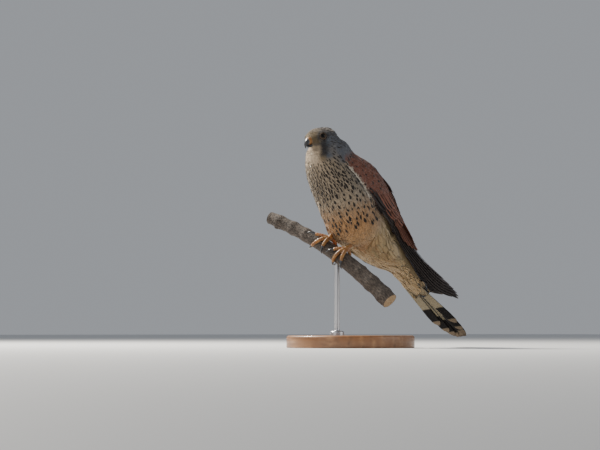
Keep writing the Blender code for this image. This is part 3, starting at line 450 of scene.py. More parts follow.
def body_frame(s):
    """The middle of the body s from the throat, and the way along it and to the back."""
    s = np.asarray(s, float)
    y, z, tilt = (smooth(RUN, FORM[:, c], s) for c in range(3))
    tilt = np.radians(tilt)
    none = np.zeros_like(s)
    return (
        np.stack([none, y, z], -1),
        np.stack([none, np.sin(tilt), -np.cos(tilt)], -1),
        np.stack([none, np.cos(tilt), np.sin(tilt)], -1),
    )


def wing_edges(s):
    return np.radians(smooth(RUN, FORM[:, 8], s)), np.radians(smooth(RUN, FORM[:, 9], s))


def wing_radius(s):
    return (smooth(RUN, FORM[:, 6], s) + smooth(RUN, FORM[:, 7], s)) / 2


def wing_width(s):
    low, high = wing_edges(s)
    return (high - low) * wing_radius(s)


def wing_point(s, x, height, side):
    """A point of the folded wing: x up from its lower edge, at a height off the body, and the way
    straight out there."""
    s, x, height = np.broadcast_arrays(*(np.asarray(v, float) for v in (s, x, height)))
    phi = wing_edges(s)[0] + x / wing_radius(s)
    half, up = smooth(RUN, FORM[:, 6], s)[..., None], smooth(RUN, FORM[:, 7], s)[..., None]
    middle, _, back = body_frame(s)
    across, rise = np.cos(phi)[..., None], np.sin(phi)[..., None]
    out = unit(across / half * X + rise / up * back)
    point = (
        middle
        + np.sign(across) * np.abs(across) ** 0.92 * half * X
        + np.sign(rise) * np.abs(rise) ** 0.92 * up * back
        + (height - WING_SINK + 0.6)[..., None] * out
    )
    mirror = np.array([side, 1, 1])
    return point * mirror, out * mirror


TAIL_TIP = np.array([0.0, 193.0, -104.3])
TAIL_SLOPE, TAIL_LENGTH, TAIL_SHOWS_FROM = math.radians(37.5), 167.0, 43.6
TAIL_ROLL, TAIL_TOP = 0.15, 4.5
tail_along = np.array([0.0, math.cos(TAIL_SLOPE), -math.sin(TAIL_SLOPE)])
tail_back = np.cross(X, tail_along)
tail_root = TAIL_TIP - TAIL_LENGTH * tail_along

FLIGHT_BASE, PRIMARY_SPACING = 2.2, 1.9
LOUVRE = math.radians(15.0)
PRIMARY_STEP = max(0.0, (0.9 - PRIMARY_SPACING * math.sin(LOUVRE)) / math.cos(LOUVRE))


def flight_top(x):
    """The height of the topmost flight feather x up the wing."""
    slope = PRIMARY_STEP / PRIMARY_SPACING
    return FLIGHT_BASE + slope * np.minimum(x, 14.0) + 0.06 * np.maximum(x - 14.0, 0.0)


HEAD_CENTRE = np.array([0.0, -23.4, 120.7])
yaw, pitch = math.radians(-2.0), math.radians(-7.0)
level = np.array([math.sin(yaw), -math.cos(yaw), 0.0])
FORWARD = math.cos(pitch) * level + math.sin(pitch) * Z
LEFT = np.cross(Z, level)
UP = np.cross(FORWARD, LEFT)
BILL_BASE = (14.2, -3.2)
HEAD = {  # forward, half width, crown, jaw
    "nape": (-19.0, 4.0, 4.5, -5.0),
    "back": (-16.0, 11.0, 8.6, -9.8),
    "cheeks": (-9.0, 15.4, 11.6, -13.5),
    "crown": (-1.5, 16.8, 12.0, -14.5),
    "eyes": (6.0, 15.8, 11.6, -13.6),
    "brow": (12.0, 12.8, 9.6, -11.6),
    "lores": (15.6, 9.2, 6.6, -9.4),
    "face": (17.8, 4.8, 2.4, -6.8),
}
EYE_AT, EYE_RADIUS, LID_RADIUS = (8.9, 1.4), 5.6, 3.3


def head_place(forward, out, up):
    forward, out, up = (np.asarray(v, float)[..., None] for v in (forward, out, up))
    return HEAD_CENTRE + forward * FORWARD + out * LEFT + up * UP


def skull_point(forward, up, side):
    """The point of the head's form at that place, seen from the side."""
    table = np.array(list(HEAD.values()))
    half, top, bottom = (smooth(table[:, 0], table[:, c], forward) for c in (1, 2, 3))
    middle, rise = (top + bottom) / 2, (top - bottom) / 2
    return head_place(forward, side * half * math.sqrt(1 - ((up - middle) / rise) ** 2), up)


def eye_socket(side):
    """The eyeball's centre and the way it looks."""
    forward, up = EYE_AT
    ahead = skull_point(forward + 2, up, side) - skull_point(forward - 2, up, side)
    above = skull_point(forward, up + 2, side) - skull_point(forward, up - 2, side)
    look = unit(np.cross(above, ahead)) * side
    reach = math.sqrt(EYE_RADIUS**2 - LID_RADIUS**2)
    return skull_point(forward, up, side) - look * (reach - 0.4), look


# The skin
# One skin over the head, neck, body, rump, thighs and the fleshy part of the folded wings, with no
# seams. It lies inside their forms by the depth of the feathers and carries the plumage's colours.
HIP = np.array([17.5, 34.0, 36.0])
HEEL_FROM_SOLE = np.array([2.5, 4.5, 4.0])
FOOT_SPREAD, SOLE_RADIUS = 12.5, 3.4
THIGH_RADII = (
    (0.0, 14.5), (0.1, 18.5), (0.22, 20.5), (0.38, 20.8), (0.55, 18.6), (0.7, 15.0), (0.83, 11.0),
    (0.93, 7.4), (1.0, 4.6),
)


def foot_centre(foot_at):
    middle, _, up, _ = branch_frame(foot_at)
    return middle + (branch_radius(foot_at) + SOLE_RADIUS + 0.4) * up


def heel(side):
    return foot_centre(-side * FOOT_SPREAD) + HEEL_FROM_SOLE * (side, 1, 1)


def body_place(p):
    """How far along the body each point is, and its angle round it from its own side up."""
    stations = np.linspace(0, STATION["mid_tail"], 240)
    middle, along, back = body_frame(stations)
    off = p[:, None] - middle
    ahead = np.abs(np.einsum("nsk,sk->ns", off, along))
    reach = np.linalg.norm(off, axis=-1)
    i = np.argmin(ahead + 0.08 * reach, axis=1)
    own = off[np.arange(len(p)), i]
    phi = np.arctan2(np.einsum("nk,nk->n", own, back[i]), np.abs(own[:, 0]))
    return stations[i], phi


def head_share(s):
    """1 on the head and 0 on the body, with a soft step at the neck."""
    return 1 - ease(s, 1.0, 9.0)


def thigh_share(p):
    """1 on the thighs and 0 on the body."""
    side = np.where(p[:, 0] > 0, 1, -1)
    share = np.zeros(len(p))
    for one in (1, -1):
        hip, end = HIP * (one, 1, 1), heel(one)
        way = end - hip
        t = np.clip((p - hip) @ way / (way @ way), 0, 1)
        off = np.linalg.norm(p - hip - t[:, None] * way, axis=1)
        radius = np.interp(t, *zip(*THIGH_RADII))
        near = (1 - ease(np.abs(off - radius), 1.0, 6.0)) * ease(t, 0.15, 0.75)
        share = np.where(side == one, near, share)
    return share


def blend(base, colour, share):
    """Moves each row of base towards a colour by its own share."""
    return base + (np.asarray(colour) - base) * np.clip(share, 0, 1)[:, None]


def bell(x, middle, width):
    return np.exp(-(((x - middle) / width) ** 2))


def face_colour(p):
    """The head: slate cheek and nape, browner crown, pale forehead and throat, and the dark stripe
    that runs down from below the eye."""
    local = p - HEAD_CENTRE
    f, out, u = local @ FORWARD, np.abs(local @ LEFT), local @ UP
    colour = np.tile([0.074, 0.086, 0.108], (len(p), 1))
    colour = blend(colour, (0.120, 0.104, 0.092), ease(u, 2.0, 8.0))
    colour = blend(colour, (0.125, 0.092, 0.050), ease(f, 8.5, 12.5) * (1 - ease(u, 4.0, 9.0)))
    colour = blend(colour, (0.200, 0.160, 0.115), 0.8 * ease(f, 5.0, 12.0) * ease(u, 5.0, 9.0))
    colour = blend(colour, (0.155, 0.150, 0.150), bell(f, -1.0, 4.5) * bell(u, -10.0, 4.0) * 0.8)
    pale = ease(-u, 6.0, 9.0) * (1 - ease(out, 9.0, 12.5)) * ease(f, 3.0, 8.0)
    colour = blend(colour, (0.46, 0.36, 0.255), pale)
    gape = bell(u, -7.2, 1.5) * ease(f, 7.0, 10.0) * ease(out, 2.5, 4.5)
    colour = blend(colour, (0.045, 0.038, 0.030), 0.75 * gape)
    line = np.interp(-u, (2.0, 11.0, 15.0, 20.0), (9.4, 8.4, 10.2, 13.0))
    stripe = bell(f, line, 2.7) * ease(-u, 1.0, 3.0) * (1 - ease(-u, 17.0, 20.5)) * ease(out, 6.5, 9.5)
    colour = blend(colour, (0.018, 0.017, 0.019), np.minimum(1.2 * stripe, 0.95))
    eye_off = np.hypot(f - EYE_AT[0] - 1.2, 1.2 * (u - EYE_AT[1] - 0.4))
    around = (1 - ease(eye_off, 5.0, 8.5)) * ease(out, 7.0, 10.0)
    colour = blend(colour, (0.030, 0.027, 0.028), 0.85 * around)
    behind = bell(u, 1.8, 1.6) * ease(-f, -6.0, -1.0) * (1 - ease(-f, 6.0, 11.0))
    colour = blend(colour, (0.035, 0.033, 0.036), 0.75 * behind)
    return colour


def plumage(p):
    """The colour of the feathers rooted at each point, and how much of a dark streak along the
    shaft and of a dark drop near the tip each of them may carry."""
    s, phi = body_place(p)
    low, high = wing_edges(s)
    x = (phi - low) * wing_radius(s)
    on_wing = ease(x, -1.5, 0.5) * (1 - ease(s, 96, 106)) * ease(s, 14, 22)
    colour = np.tile([0.240, 0.190, 0.134], (len(p), 1))
    colour = colour * (1 + 0.05 * np.sin(p @ (0.31, 0.17, 0.23)))[:, None]
    flank = ease(phi, -0.8, -0.1) * ease(s, 12, 40)
    colour = blend(colour, (0.190, 0.165, 0.135), 0.8 * flank)
    warm = ease(s, 56, 84) * (1 - ease(s, 94, 124))
    colour = blend(colour, (0.31, 0.158, 0.062), 0.85 * warm * (1 - 0.4 * flank))
    colour = blend(colour, (0.310, 0.226, 0.118), ease(s, 92, 116))
    side_band = bell(x, -7.0, 5.0) * ease(s, 84, 96)
    colour = blend(colour, (0.30, 0.245, 0.170), 0.5 * side_band)
    colour = blend(colour, (0.33, 0.170, 0.068), thigh_share(p) * 0.6)
    throat = (1 - ease(s, 8, 26)) * ease(-phi, 0.5, 1.15)
    colour = blend(colour, (0.46, 0.36, 0.255), 0.85 * throat)
    nape = (1 - ease(s, 18, 24)) * ease(phi, -0.6, -0.1)
    colour = blend(colour, (0.080, 0.086, 0.102), nape)
    mantle = np.maximum(on_wing, ease(phi, low + 0.1, low + 0.3) * ease(s, 14, 22))
    colour = blend(colour, (0.126, 0.049, 0.034), mantle)
    leading = bell(x, 0.2, 1.9) * ease(s, 20, 30) * (1 - ease(s, 72, 84))
    colour = blend(colour, (0.48, 0.43, 0.36), leading)
    # The folded wing's lower edge from the wrist back is dark: partly its own dark coverts, partly painted shade along
    # the edge of the wing.
    dark_edge_and_shade = ease(x, -1.0, 0.5) * (1 - ease(x, 4.0, 7.0)) * ease(s, 78, 86) * (1 - ease(s, 98, 104))
    colour = blend(colour, (0.022, 0.017, 0.017), dark_edge_and_shade)
    along, high_up = (p - tail_root) @ tail_along, (p - tail_root) @ tail_back - TAIL_ROLL * p[:, 0]
    over_tail = ease(high_up - np.interp(along, (52, 88), (5.0, 2.2)), -0.5, 1.5) * ease(along, 48, 60)
    rump = np.maximum(ease(phi, 0.3, 0.7) * ease(s, 98, 110), over_tail)
    colour = blend(colour, (0.105, 0.118, 0.142), rump)
    head = np.maximum(head_share(s), (1 - ease(s, 9, 15)) * bell(phi, -0.8, 0.5))
    colour = blend(colour, face_colour(p), head)
    above = np.maximum(np.maximum(on_wing, rump), nape)
    breast = (1 - above) * (1 - head) * (1 - leading)
    streak = breast * ease(s, 8, 17) * (1 - ease(s, 38, 54)) + 0.5 * head * ease(phi, -0.9, 0.0)
    drop = breast * ease(s, 34, 50) * (1 - ease(s, 84, 100)) * (1 - thigh_share(p))
    drop = drop * (1 - 0.4 * ease(-phi, 1.2, 1.5) * ease(s, 60, 80))
    drop = drop + 0.7 * on_wing * (1 - leading) * (1 - dark_edge_and_shade) * (1 - rump)
    return colour, np.clip(streak, 0, 1), np.clip(drop, 0, 1)


def wing_bed(side):
    """The fleshy part of a folded wing, a closed curved shell with soft edges."""
    rings = []
    for s in np.linspace(WRIST_AT - 1.0, WING_PAD_END + 12.0, 60):
        width = float(wing_width(s))
        x = np.linspace(0.0, width - 1.0, 30)
        lip = np.sin(np.linspace(0.0, math.pi, 30)) ** 0.5
        front = math.sin(math.pi / 2 * min(1.0, max(0.05, (s - WRIST_AT + 4) / 22)))
        top = 0.4 + (flight_top(x) + 1.3 - 0.9) * lip * front
        outer, _ = wing_point(s, x, top, side)
        inner, _ = wing_point(s, x[::-1], -2.0, side)
        rings.append(np.concatenate([outer, inner]))
    points, faces = skinned(rings)
    mesh = bpy.data.meshes.new("bed")
    mesh.from_pydata(((points + PERCH) * MM).tolist(), [], faces.tolist())
    return mesh


def body_point(s, turn, grow=0.0):
    """A point of the body's own form, at an angle round it."""
    half, up, down = (smooth(RUN, FORM[:, c], s) for c in (3, 4, 5))
    middle, _, back = body_frame(s)
    across, rise = np.cos(turn), np.sin(turn)
    tall = np.where(rise > 0, up, down) + grow
    return (
        middle
        + (np.sign(across) * np.abs(across) ** 0.92 * (half + grow))[:, None] * X
        + (np.sign(rise) * np.abs(rise) ** 0.92 * tall)[:, None] * back
    )


def rump_form():
    """The end of the body, which tapers over and under the tail's roots to where the long coverts
    end."""
    turn = np.linspace(0, math.tau, 40, endpoint=False)
    rings = [
        body_point(np.full(40, s), turn, 1.6 * float(ease(s, STATION["under_vent"] - 8, STATION["rump"])))
        for s in np.linspace(STATION["under_vent"] - 8, STATION["coverts"] - 2, 12)
    ]
    for t, half, top, low in ((52, 16.4, 14.5, -4.6), (62, 16.0, 12.0, -4.6), (72, 15.0, 9.6, -3.7),
                              (80, 13.6, 7.6, -2.6), (88, 11.6, 5.6, -1.2)):
        middle, rise = (top + low) / 2, (top - low) / 2
        out = np.cos(turn) * half
        high = middle + np.sin(turn) * rise + TAIL_ROLL * out * min(1.0, (t - 40) / 20)
        rings.append(tail_root + t * tail_along + np.outer(out, X) + np.outer(high, tail_back))
    return skinned(rings)


FLESH = ("head", "neck", "torso", "rump", "thigh_left", "thigh_right")
bm = bmesh.new()
for name in FLESH:
    if name != "rump":
        bm.from_mesh(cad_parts[name].data)
points, faces = rump_form()
mesh = bpy.data.meshes.new("rump")
mesh.from_pydata(((points + PERCH) * MM).tolist(), [], faces.tolist())
bm.from_mesh(mesh)
bpy.data.meshes.remove(mesh)
for side in (1, -1):
    # A ball a little larger than the eye closes its socket in the skin.
    mesh = bpy.data.meshes.new("socket")
    ball = bmesh.new()
    bmesh.ops.create_uvsphere(ball, u_segments=32, v_segments=20, radius=(EYE_RADIUS + 0.3) * MM)
    bmesh.ops.translate(ball, verts=ball.verts, vec=Vector((eye_socket(side)[0] + PERCH) * MM))
    ball.to_mesh(mesh)
    ball.free()
    bm.from_mesh(mesh)
    bpy.data.meshes.remove(mesh)
    mesh = wing_bed(side)
    bm.from_mesh(mesh)
    bpy.data.meshes.remove(mesh)
mesh = bpy.data.meshes.new("skin")
bm.to_mesh(mesh)
bm.free()
skin = bpy.data.objects.new("skin", mesh)
bpy.context.scene.collection.objects.link(skin)
remesh = skin.modifiers.new("remesh", "REMESH")
remesh.mode = "VOXEL"
remesh.voxel_size = 0.0011
calm = skin.modifiers.new("calm", "SMOOTH")
calm.factor = 0.5
calm.iterations = 6
baked = bpy.data.meshes.new_from_object(skin.evaluated_get(bpy.context.evaluated_depsgraph_get()))
skin.modifiers.clear()
skin.data = baked
bpy.data.meshes.remove(mesh)
baked.name = "skin"


def read(mesh, source, attribute, width, kind=np.float32):
    values = np.empty(len(source) * width, kind)
    source.foreach_get(attribute, values)
    return values.reshape(-1, width) if width > 1 else values


def coat_depth(s):
    """How deep the feathers stand over the skin."""
    return 0.8 + 1.0 * ease(s, 0, 25)


places = read(baked, baked.vertices, "co", 3).astype(float) / MM - PERCH
edges = read(baked, baked.edges, "vertices", 2, np.int32)
# Thick plumage fills the hollow of the neck and the thighs' edges, so the skin is smoothed there.
s, phi = body_place(places)
local = places - HEAD_CENTRE
ahead, under = local @ FORWARD, -(local @ UP)
front = np.maximum(1 - ease(ahead, 2.0, 9.0), ease(under, 6.0, 10.0) * (1 - ease(ahead, 12.0, 16.0)))
fill = bell(np.linalg.norm(local, axis=1), 20.0, 6.0) * front
low, high = wing_edges(s)
groove = ease(phi, high - 0.45, high - 0.1) * ease(s, 20, 30) * (1 - ease(s, 88, 102))
fill = np.maximum(np.maximum(fill, 0.9 * thigh_share(places)), groove)
fill = np.maximum(fill, 0.9 * bell(s, 7.0, 9.0) * ease(phi, 0.1, 0.7))
fill = np.maximum(fill, 0.35 * ease(s, 88, 100) * (1 - ease(phi, low, low + 0.2)))
ends = edges.ravel()
others = edges[:, ::-1].ravel()
joined = np.maximum(np.bincount(ends, minlength=len(places)), 1)[:, None]
for _ in range(70):
    around = np.stack([np.bincount(ends, places[others, c], len(places)) for c in range(3)], -1)
    places += fill[:, None] * 0.6 * (around / joined - places)
baked.vertices.foreach_set("co", ((places + PERCH) * MM).astype(np.float32).ravel())
baked.update()
normals = read(baked, baked.vertices, "normal", 3).astype(float)
places += normals * (2.6 * bell(s, 108.0, 13.0) * ease(-phi, 0.1, 0.7))[:, None]
for side in (1, -1):
    centre, look = eye_socket(side)
    normals[np.linalg.norm(places - centre, axis=1) < EYE_RADIUS + 1.2] *= 0.4
places -= normals * coat_depth(s)[:, None]
baked.vertices.foreach_set("co", ((places + PERCH) * MM).astype(np.float32).ravel())
baked.shade_smooth()
baked.update()

down_skin, tree, shader = material("skin_under_feathers", (0.4, 0.3, 0.2), 0.95)
tint = add(tree, "VertexColor", layer_name="tint")
fluff = add(tree, "TexNoise", {"Scale": 900.0, "Detail": 4.0})
darker = add(
    tree, "Mix", {0: 0.35, 6: tint.outputs["Color"], 7: fluff.outputs["Fac"]},
    data_type="RGBA", blend_type="MULTIPLY",
)
tree.links.new(darker.outputs[2], shader.inputs["Base Color"])
bump = add(tree, "Bump", {"Height": fluff.outputs["Fac"], "Strength": 0.6, "Distance": 0.0005})
tree.links.new(bump.outputs[0], shader.inputs["Normal"])
fixed(
    skin, down_skin,
    [*FLESH, "wing_left_shoulder", "wing_right_shoulder"],
)
skin_colour, _, _ = plumage(places)
note(skin, "tint", skin_colour)


# The body feathers
# Small curved vanes that lie along the body from the bill to the tail and overlap like tiles: tiny
# on the face, longest on the flanks and the rump. Each has its own tint, and many a dark streak or
# drop along the shaft.
baked.calc_loop_triangles()
triangles = read(baked, baked.loop_triangles, "vertices", 3, np.int32)
surface = BVHTree.FromPolygons(places.tolist(), triangles.tolist(), all_triangles=True)
corner = places[triangles]
facing = unit(np.cross(corner[:, 1] - corner[:, 0], corner[:, 2] - corner[:, 0]))
areas = np.linalg.norm(np.cross(corner[:, 1] - corner[:, 0], corner[:, 2] - corner[:, 0]), axis=1) / 2
BILL_ROOT = head_place(BILL_BASE[0] + 1.0, 0.0, BILL_BASE[1] + 0.5)


def eye_off(p):
    """How far each place is from the line that the nearer eye looks along."""
    off = np.full(len(p), 99.0)
    for side in (1, -1):
        centre, look = eye_socket(side)
        way = p - centre
        ahead = way @ look
        reach = np.linalg.norm(way - ahead[:, None] * look, axis=1)
        off = np.where(ahead > 0, np.minimum(off, reach), off)
    return off


def lie(p, normal):
    """The way the feathers point at each place: out from the bill over the head, then along the
    body to the tail, and down the thighs."""
    away = unit(p - BILL_ROOT)
    s, _ = body_place(p)
    along = body_frame(s)[1]
    on_tail = ease(s, STATION["rump"], STATION["coverts"])[:, None]
    along = along * (1 - on_tail) + tail_along * on_tail
    side = np.where(p[:, :1] > 0, 1.0, -1.0)
    down = ease(np.linalg.norm(p - BILL_ROOT, axis=1), 40, 80)[:, None]
    way = away * (1 - down) + (along + 0.04 * side * X) * down
    thigh = 0.6 * thigh_share(p)[:, None]
    leg = unit(heel(1) - HIP) * np.concatenate([side, np.ones((len(p), 2))], 1)
    way = way * (1 - thigh) + leg * thigh
    return unit(way - normal * np.einsum("ij,ij->i", way, normal)[:, None])


def feather_length(p):
    s, phi = body_place(p)
    low, high = wing_edges(s)
    x = (phi - low) * wing_radius(s)
    far = np.linalg.norm(p - BILL_ROOT, axis=1)
    length = np.interp(far, (0, 8, 16, 26, 40, 60, 90), (1.5, 2.0, 3.0, 4.6, 6.5, 9.0, 10.5))
    length = length + 1.5 * ease(s, 50, 80) + 5.5 * ease(s, 108, 130)
    wing = (x > 0) * ease(s, 16, 24) * (1 - ease(s, 100, 110))
    on_wing = 5.0 + 3.5 * ease(x, 3, 14) + 4.0 * ease(phi, high - 0.3, high)
    length = length * (1 - wing) + on_wing * wing
    return length * (1 - 0.3 * thigh_share(p))


def hidden(p):
    """True where no feather grows: in the eyes and at the bill's root, under the flight feathers,
    and on the end of the rump that meets the tail."""
    s, phi = body_place(p)
    low, high = wing_edges(s)
    gone = (s > WING_PAD_END + 2) & (s < 112) & (phi > low + 0.1) & (phi < high - 0.02)
    gone |= (s > 92) & (phi > low - 0.03 - 0.4 * ease(s, 130, 155)) & (phi < low + 0.4) & (s < 205)
    gone |= (p - tail_root) @ tail_along > 85.0
    f, out, u = ((p - HEAD_CENTRE) @ axis for axis in (FORWARD, LEFT, UP))
    bill = ((u - BILL_BASE[1] + 0.6) / 4.9) ** 2 + (out / 4.2) ** 2
    return gone | ((f > 12.5) & (bill < 1.0)) | (eye_off(p) < 3.6)


def thinned(places, spacing):
    """Which of the places stay when each keeps off those before it by its own spacing."""
    cell = float(spacing.max())
    grid = {}
    kept = []
    for i, (key, p, r) in enumerate(
        zip(np.floor(places / cell).astype(int).tolist(), places.tolist(), spacing.tolist())
    ):
        x, y, z = key
        near = (
            q
            for a in (x - 1, x, x + 1) for b in (y - 1, y, y + 1) for c in (z - 1, z, z + 1)
            for q in grid.get((a, b, c), ())
        )
        if all((p[0] - q[0]) ** 2 + (p[1] - q[1]) ** 2 + (p[2] - q[2]) ** 2 > r * r for q in near):
            grid.setdefault((x, y, z), []).append(p)
            kept.append(i)
    return np.array(kept)


rng = np.random.default_rng(7)
SPACING = 0.205
wanted = 1 / feather_length(corner.mean(1)) ** 2
picked = rng.choice(len(triangles), 120000, p=areas * wanted / (areas * wanted).sum())
spots = np.einsum("nk,nkc->nc", rng.dirichlet((1, 1, 1), len(picked)), corner[picked])
away = ~hidden(spots)
spots, picked = spots[away], picked[away]
spot_length = feather_length(spots)
chosen = thinned(spots, spot_length * SPACING + 0.1)
roots, root_normals, root_length = spots[chosen], facing[picked[chosen]], spot_length[chosen]

# Marks: of the feathers that may carry one, every few millimetres one does.
root_s, root_phi = body_place(roots)
root_low, root_high = wing_edges(root_s)
root_x = (root_phi - root_low) * wing_radius(root_s)
tints, streak_share, drop_share = plumage(roots)
on_back = (root_x > 0) & (root_s > 17)
streaks, drops = np.zeros(len(roots)), np.zeros(len(roots))
order = rng.permutation(len(roots))
for share, marks, gap_of in (
    (streak_share, streaks, 2.5 + 0 * root_s),
    (drop_share, drops, np.where(on_back, 7.0, 4.6)),
):
    able = order[rng.uniform(0, 1, len(order)) < share[order]]
    marked = able[thinned(roots[able], gap_of[able] * rng.uniform(0.8, 1.2, len(able)))]
    marks[marked] = rng.uniform(0.75, 1.1, len(marked))


def vanes(name, centre, across, normal, half, tint, mark, patch, finish, columns=5,
          camber=0.09, thickness=0.06, shaft=0.0, replaced=()):
    """One mesh of many closed vanes. centre, across and normal are (feathers, rows, 3), half is
    (feathers, rows), tint and mark (streak, drop) are one row a feather, and patch is each root's
    place on the unwrapped form."""
    n, rows = half.shape
    u = np.linspace(-1, 1, columns)
    wide = half[:, :, None] * u
    fall = -camber * half[:, :, None] * u**2
    fall = fall + shaft * (np.abs(u) < 0.01) * np.linspace(1, 0.2, rows)[:, None]
    top = centre[:, :, None] + across[:, :, None] * wide[..., None] + normal[:, :, None] * fall[..., None]
    under = (top - normal[:, :, None] * thickness)[:, 1:-1, 1:-1]
    each = rows * columns
    inner = (rows - 2) * (columns - 2)
    points = np.concatenate([top.reshape(n, each, 3), under.reshape(n, inner, 3)], 1)
    upper = np.arange(each).reshape(rows, columns)
    lower = upper.copy()
    lower[1:-1, 1:-1] = each + np.arange(inner).reshape(rows - 2, columns - 2)
    quads = []
    for layer, turn in ((upper, 1), (lower, -1)):
        quad = np.stack([layer[:-1, :-1], layer[1:, :-1], layer[1:, 1:], layer[:-1, 1:]], -1)
        quads.append(quad.reshape(-1, 4)[:, ::turn])
    quads = np.concatenate(quads)
    first = np.cross(across[0, 0], centre[0, 1] - centre[0, 0]) @ normal[0, 0]
    if first > 0:
        quads = quads[:, ::-1]
    faces = (quads[None] + (np.arange(n) * (each + inner))[:, None, None]).reshape(-1, 4)
    made = piece(name, points, faces, finish, replaced)
    along = np.repeat(np.linspace(0, 1, rows), columns).reshape(rows, columns)
    aside = np.tile(u * 0.5 + 0.5, (rows, 1))
    along = np.r_[along.ravel(), along[1:-1, 1:-1].ravel()]
    aside = np.r_[aside.ravel(), aside[1:-1, 1:-1].ravel()]
    lay = np.empty((n, each + inner, 4))
    lay[..., 0], lay[..., 1], lay[..., 2:] = along, aside, mark[:, None]
    note(made, "lay", lay)
    note(made, "tint", np.repeat(tint[:, None], each + inner, 1))
    spread = patch[:, None] + 0.003 * np.stack([along, aside], -1)
    layer = made.data.uv_layers.new(name="OFBake")
    layer.data.foreach_set("uv", spread.reshape(-1, 2)[faces.ravel()].astype(np.float32).ravel())
    return made


def unwrapped(p):
    """Each place's spot on the body's own form laid flat, from the bill to the tail and once
    round."""
    s, phi = body_place(p)
    head = head_share(s)
    f, _, u = ((p - HEAD_CENTRE) @ axis for axis in (FORWARD, LEFT, UP))
    turn = np.where(p[:, 0] > 0, phi, math.pi - phi)
    head_turn = np.arctan2(u, (p - HEAD_CENTRE) @ LEFT)
    on_head = head > 0.5
    length = np.where(on_head, 0.02 + (18.0 - f) * 0.0075, 0.32 + 0.0042 * s)
    turn = np.where(on_head, head_turn, turn) % math.tau
    return np.stack([np.clip(length, 0.0, 0.99), 0.01 + 0.97 * turn / math.tau], -1)


def follow(roots, normals, ways, lengths, shares, rise, sink):
    """Centre lines of feathers that follow the skin from their roots, with the normals there."""
    n, rows = len(roots), len(shares)
    centre, normal = np.empty((n, rows, 3)), np.empty((n, rows, 3))
    for i in range(n):
        p, out, way = Vector(roots[i]), Vector(normals[i]), Vector(ways[i])
        last = 0.0
        for k in range(rows):
            p = p + way * float(lengths[i] * (shares[k] - last))
            last = shares[k]
            hit, found, _, _ = surface.find_nearest(p)
            out = (out * 0.6 + found * 0.4).normalized()
            way = (way - out * way.dot(out)).normalized()
            p = hit
            centre[i, k] = hit + out * float(rise[i] * shares[k] ** 0.7 - sink)
            normal[i, k] = out
    return centre, normal


VANE_SHARES = np.array([0.0, 0.22, 0.5, 0.8, 1.0])
VANE_OUTLINE = np.array([0.35, 0.85, 1.0, 0.72, 0.22])


def body_feathers(name, which, breadth, rise, tint_spread, finish, columns=5, ragged=0.05):
    p, out, length = roots[which], root_normals[which], root_length[which]
    n = len(p)
    way = lie(p, out)
    swing = rng.normal(0, 0.13, n)[:, None]
    way = unit(way * np.cos(swing) + np.cross(out, way) * np.sin(swing))
    length = length * rng.normal(1.0, 0.1, n).clip(0.75, 1.3)
    length = length * (1 + 0.2 * (streaks[which] > 0))
    # In front of an eye the feathers are short enough to end before it.
    room = eye_off(p + way * length[:, None])
    length = np.where((room < 3.8) & (eye_off(p) < 9), length * 0.5, length)
    mark = np.stack([streaks[which], drops[which]], -1)
    lift = rise * coat_depth(root_s[which]) * rng.normal(1.0, 0.15, n).clip(0.6, 1.4)
    lift = lift * (1 - 0.4 * ease(root_s[which], 100, 150))
    lift = lift + 0.4 * (mark[:, 0] > 0) + 0.25 * (mark[:, 1] > 0)
    centre, normal = follow(p, out, way, length, VANE_SHARES, lift, 0.1)
    ahead = unit(np.gradient(centre, axis=1))
    across = unit(np.cross(normal, ahead))
    roll = rng.normal(0, 0.09, n)[:, None, None]
    across, normal = (
        across * np.cos(roll) + normal * np.sin(roll), normal * np.cos(roll) - across * np.sin(roll)
    )
    half = length[:, None] * breadth * VANE_OUTLINE * rng.normal(1.0, 0.08, (n, 1))
    half = half * (1 + ragged * rng.normal(0, 1, half.shape))
    tint = tints[which] * np.exp(rng.normal(0, tint_spread, (n, 1)))
    return vanes(name, centre, across, normal, half, tint, mark, unwrapped(p), finish, columns)


# What every vane's material shares: fine slanting barbs for the bump, and the dark streak and drop.
barbs = bpy.data.node_groups.new("feather_barbs", "ShaderNodeTree")
for name, kind, way in (
    ("Tint", "NodeSocketColor", "INPUT"), ("Barbs", "NodeSocketFloat", "INPUT"),
    ("Mark", "NodeSocketColor", "INPUT"), ("Fringe", "NodeSocketFloat", "INPUT"),
    ("Color", "NodeSocketColor", "OUTPUT"), ("Height", "NodeSocketFloat", "OUTPUT"),
):
    barbs.interface.new_socket(name, in_out=way, socket_type=kind)
given = barbs.nodes.new("NodeGroupInput")
gives = barbs.nodes.new("NodeGroupOutput")
lay = add(barbs, "VertexColor", layer_name="lay")
laid = add(barbs, "SeparateColor", {"Color": lay.outputs["Color"]})


def sum_up(tree, operation, a, b=0.0, c=0.0):
    """One arithmetic step on a shader's values."""
    return add(tree, "Math", {0: a, 1: b, 2: c}, operation=operation).outputs[0]


def step(tree, value, low, high, start=0.0, end=1.0):
    """A soft step of a value between two limits."""
    return add(
        tree, "MapRange",
        {"Value": value, "From Min": low, "From Max": high, "To Min": start, "To Max": end},
        interpolation_type="SMOOTHSTEP",
    ).outputs[0]


def mixed(tree, share, a, b, kind="MIX"):
    return add(tree, "Mix", {0: share, 6: a, 7: b}, data_type="RGBA", blend_type=kind).outputs[2]


